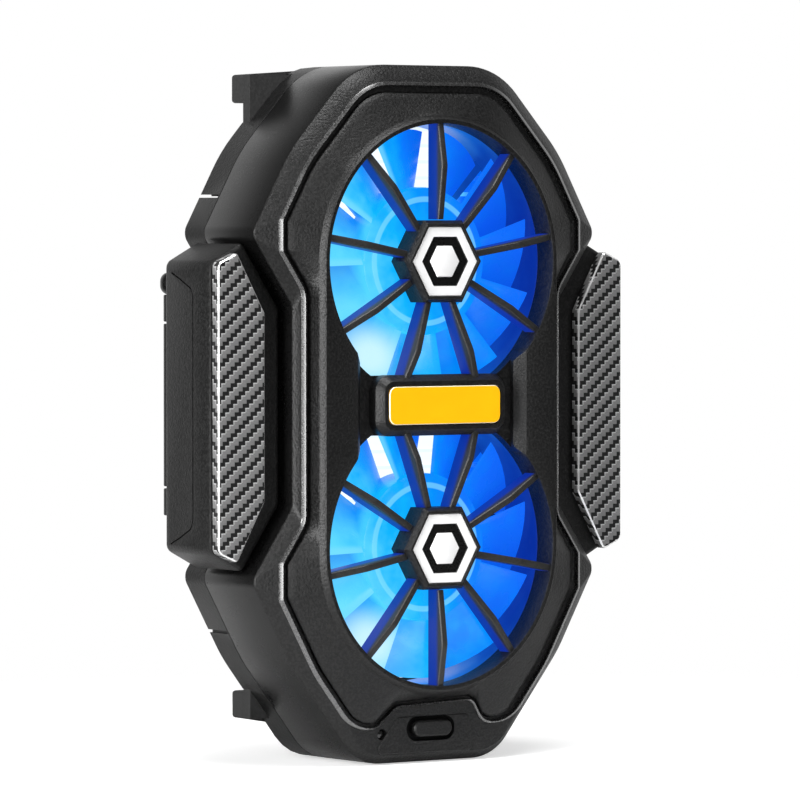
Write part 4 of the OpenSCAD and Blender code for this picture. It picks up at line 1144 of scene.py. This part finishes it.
def dress_nodes():
    """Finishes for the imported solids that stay."""
    finishes = {
        "upper_bearing": BRONZE, "lower_bearing": BRONZE, "upper_stator": COPPER, "lower_stator": COPPER,
        "upper_shaft": STEEL, "lower_shaft": STEEL, "upper_peltier": CERAMIC, "lower_peltier": CERAMIC,
        "circuit_board": BOARD, "tact_switch": SATIN_BLACK, "usb_socket": STEEL, "left_led_board": LAMP,
        "right_led_board": LAMP, "pinion": IVORY, "pinion_pin": STEEL,
    }
    for node, material in finishes.items():
        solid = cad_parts[node]
        solid.data.materials.clear()
        solid.data.materials.append(material)


build_bezel()
build_grille()
build_medallions()
build_badge()
build_button()
build_mid_shell()
build_back()
build_pads()
build_screws()
build_fans()
build_heat_sink()
build_arms()
build_springs()
dress_nodes()


# Stage, light and camera

def lay_floor():
    """A pale floor that fades out, so that it only keeps the object's shadow."""
    size, low = 0.9, -0.0002
    mesh = bpy.data.meshes.new("floor")
    corners = [(-size, -size, low), (size, -size, low), (size, size, low), (-size, size, low)]
    mesh.from_pydata(corners, [], [(0, 1, 2, 3)])
    floor = holder_of(mesh, "floor")
    made = Finish("floor_white", Roughness=0.9, Specular_IOR_Level=0.1, Emission_Strength=1.0)
    far = made.fade((made.x * made.x + made.y * made.y).root(), 30, 190)
    made.feed("Base Color", made.blend(made.noise(30.0), grey(244), grey(248)))
    made.feed("Alpha", 1 - far)
    seen = made.add("ShaderNodeLightPath", (), (), "Is Camera Ray")
    made.feed("Emission Color", made.blend(seen, (0, 0, 0, 1), (0.55, 0.55, 0.55, 1)))
    mesh.materials.append(made.material)


def light_world():
    """Soft light all round. Cameras and glass see white; gloss sees white behind the part only."""
    world = bpy.data.worlds.new("studio")
    bpy.context.scene.world = world
    world.use_nodes = True
    plan = Plan(world.node_tree)
    plan.tree.nodes.clear()
    seen = plan.outputs("ShaderNodeLightPath")
    clear = seen["Is Camera Ray"].most(seen["Is Transmission Ray"])
    side, back, up = plan.parts(plan.add("ShaderNodeNewGeometry", (), (), "Position"))
    behind = plan.fade(side * 0.588 + back * 0.809, 0.1, 0.6)
    gloss = seen["Is Glossy Ray"] * behind * (1 - plan.fade(up, 0.4, 0.8) * 0.9)
    soft, white = (plan.add("ShaderNodeBackground", (), {"Color": (1, 1, 1, 1), "Strength": strength})
                   for strength in (0.1, 1.0))
    both_ways = plan.add("ShaderNodeMixShader", (), {0: clear.most(gloss), 1: soft, 2: white})
    plan.add("ShaderNodeOutputWorld", (), {"Surface": both_ways})


def area_lamp(name, spot, aim, size, power):
    lamp = bpy.data.lights.new(name, "AREA")
    lamp.shape, lamp.size, lamp.size_y = "RECTANGLE", size[0], size[1]
    lamp.energy = power
    holder = holder_of(lamp, name)
    spot, aim = Vector(spot), Vector(aim)
    holder.matrix_world = Matrix.Translation(spot) @ (aim - spot).to_track_quat("-Z", "Y").to_matrix().to_4x4()


def set_lamps():
    middle = (0, 0, 0.05)
    area_lamp("left_softbox", (-0.63, -0.16, 0.12), middle, (0.2, 0.5), 6.0)
    area_lamp("front_strip", (-0.34, -0.76, 0.1), middle, (0.14, 0.6), 2.4)
    area_lamp("top_softbox", (-0.05, -0.2, 0.7), middle, (0.5, 0.25), 4.6)
    area_lamp("fill_softbox", (0.15, -0.7, 0.55), middle, (0.3, 0.3), 0.7)


def set_camera():
    """The photograph's view: from the left of the front, a little above the middle."""
    turn, tilt = math.radians(36.05), math.radians(1.69)
    distance, focal, shift_x, shift_y = 0.8991, 6085.81, 43.21, 4.9
    forward = Vector((math.sin(turn) * math.cos(tilt), math.cos(turn) * math.cos(tilt), -math.sin(tilt)))
    right = Vector((math.cos(turn), -math.sin(turn), 0))
    up = right.cross(forward)
    spot = Vector((0, -CENTRE_Y * MM, FOOT_H * MM)) - forward * distance
    aim = (forward - right * (shift_x / focal) + up * (shift_y / focal)).normalized()
    side = aim.cross(Vector((0, 0, 1))).normalized()
    head = side.cross(aim)
    lens = bpy.data.cameras.new("camera")
    lens.sensor_width, lens.lens = 36.0, focal / 800 * 36.0
    lens.clip_start, lens.clip_end = 0.01, 20.0
    camera = holder_of(lens, "camera")
    axes = Matrix((side, head, -aim)).transposed().to_4x4()
    camera.matrix_world = Matrix.Translation(spot) @ axes
    bpy.context.scene.camera = camera


lay_floor()
light_world()
set_lamps()
set_camera()
bpy.context.scene.view_settings.view_transform = "Standard"
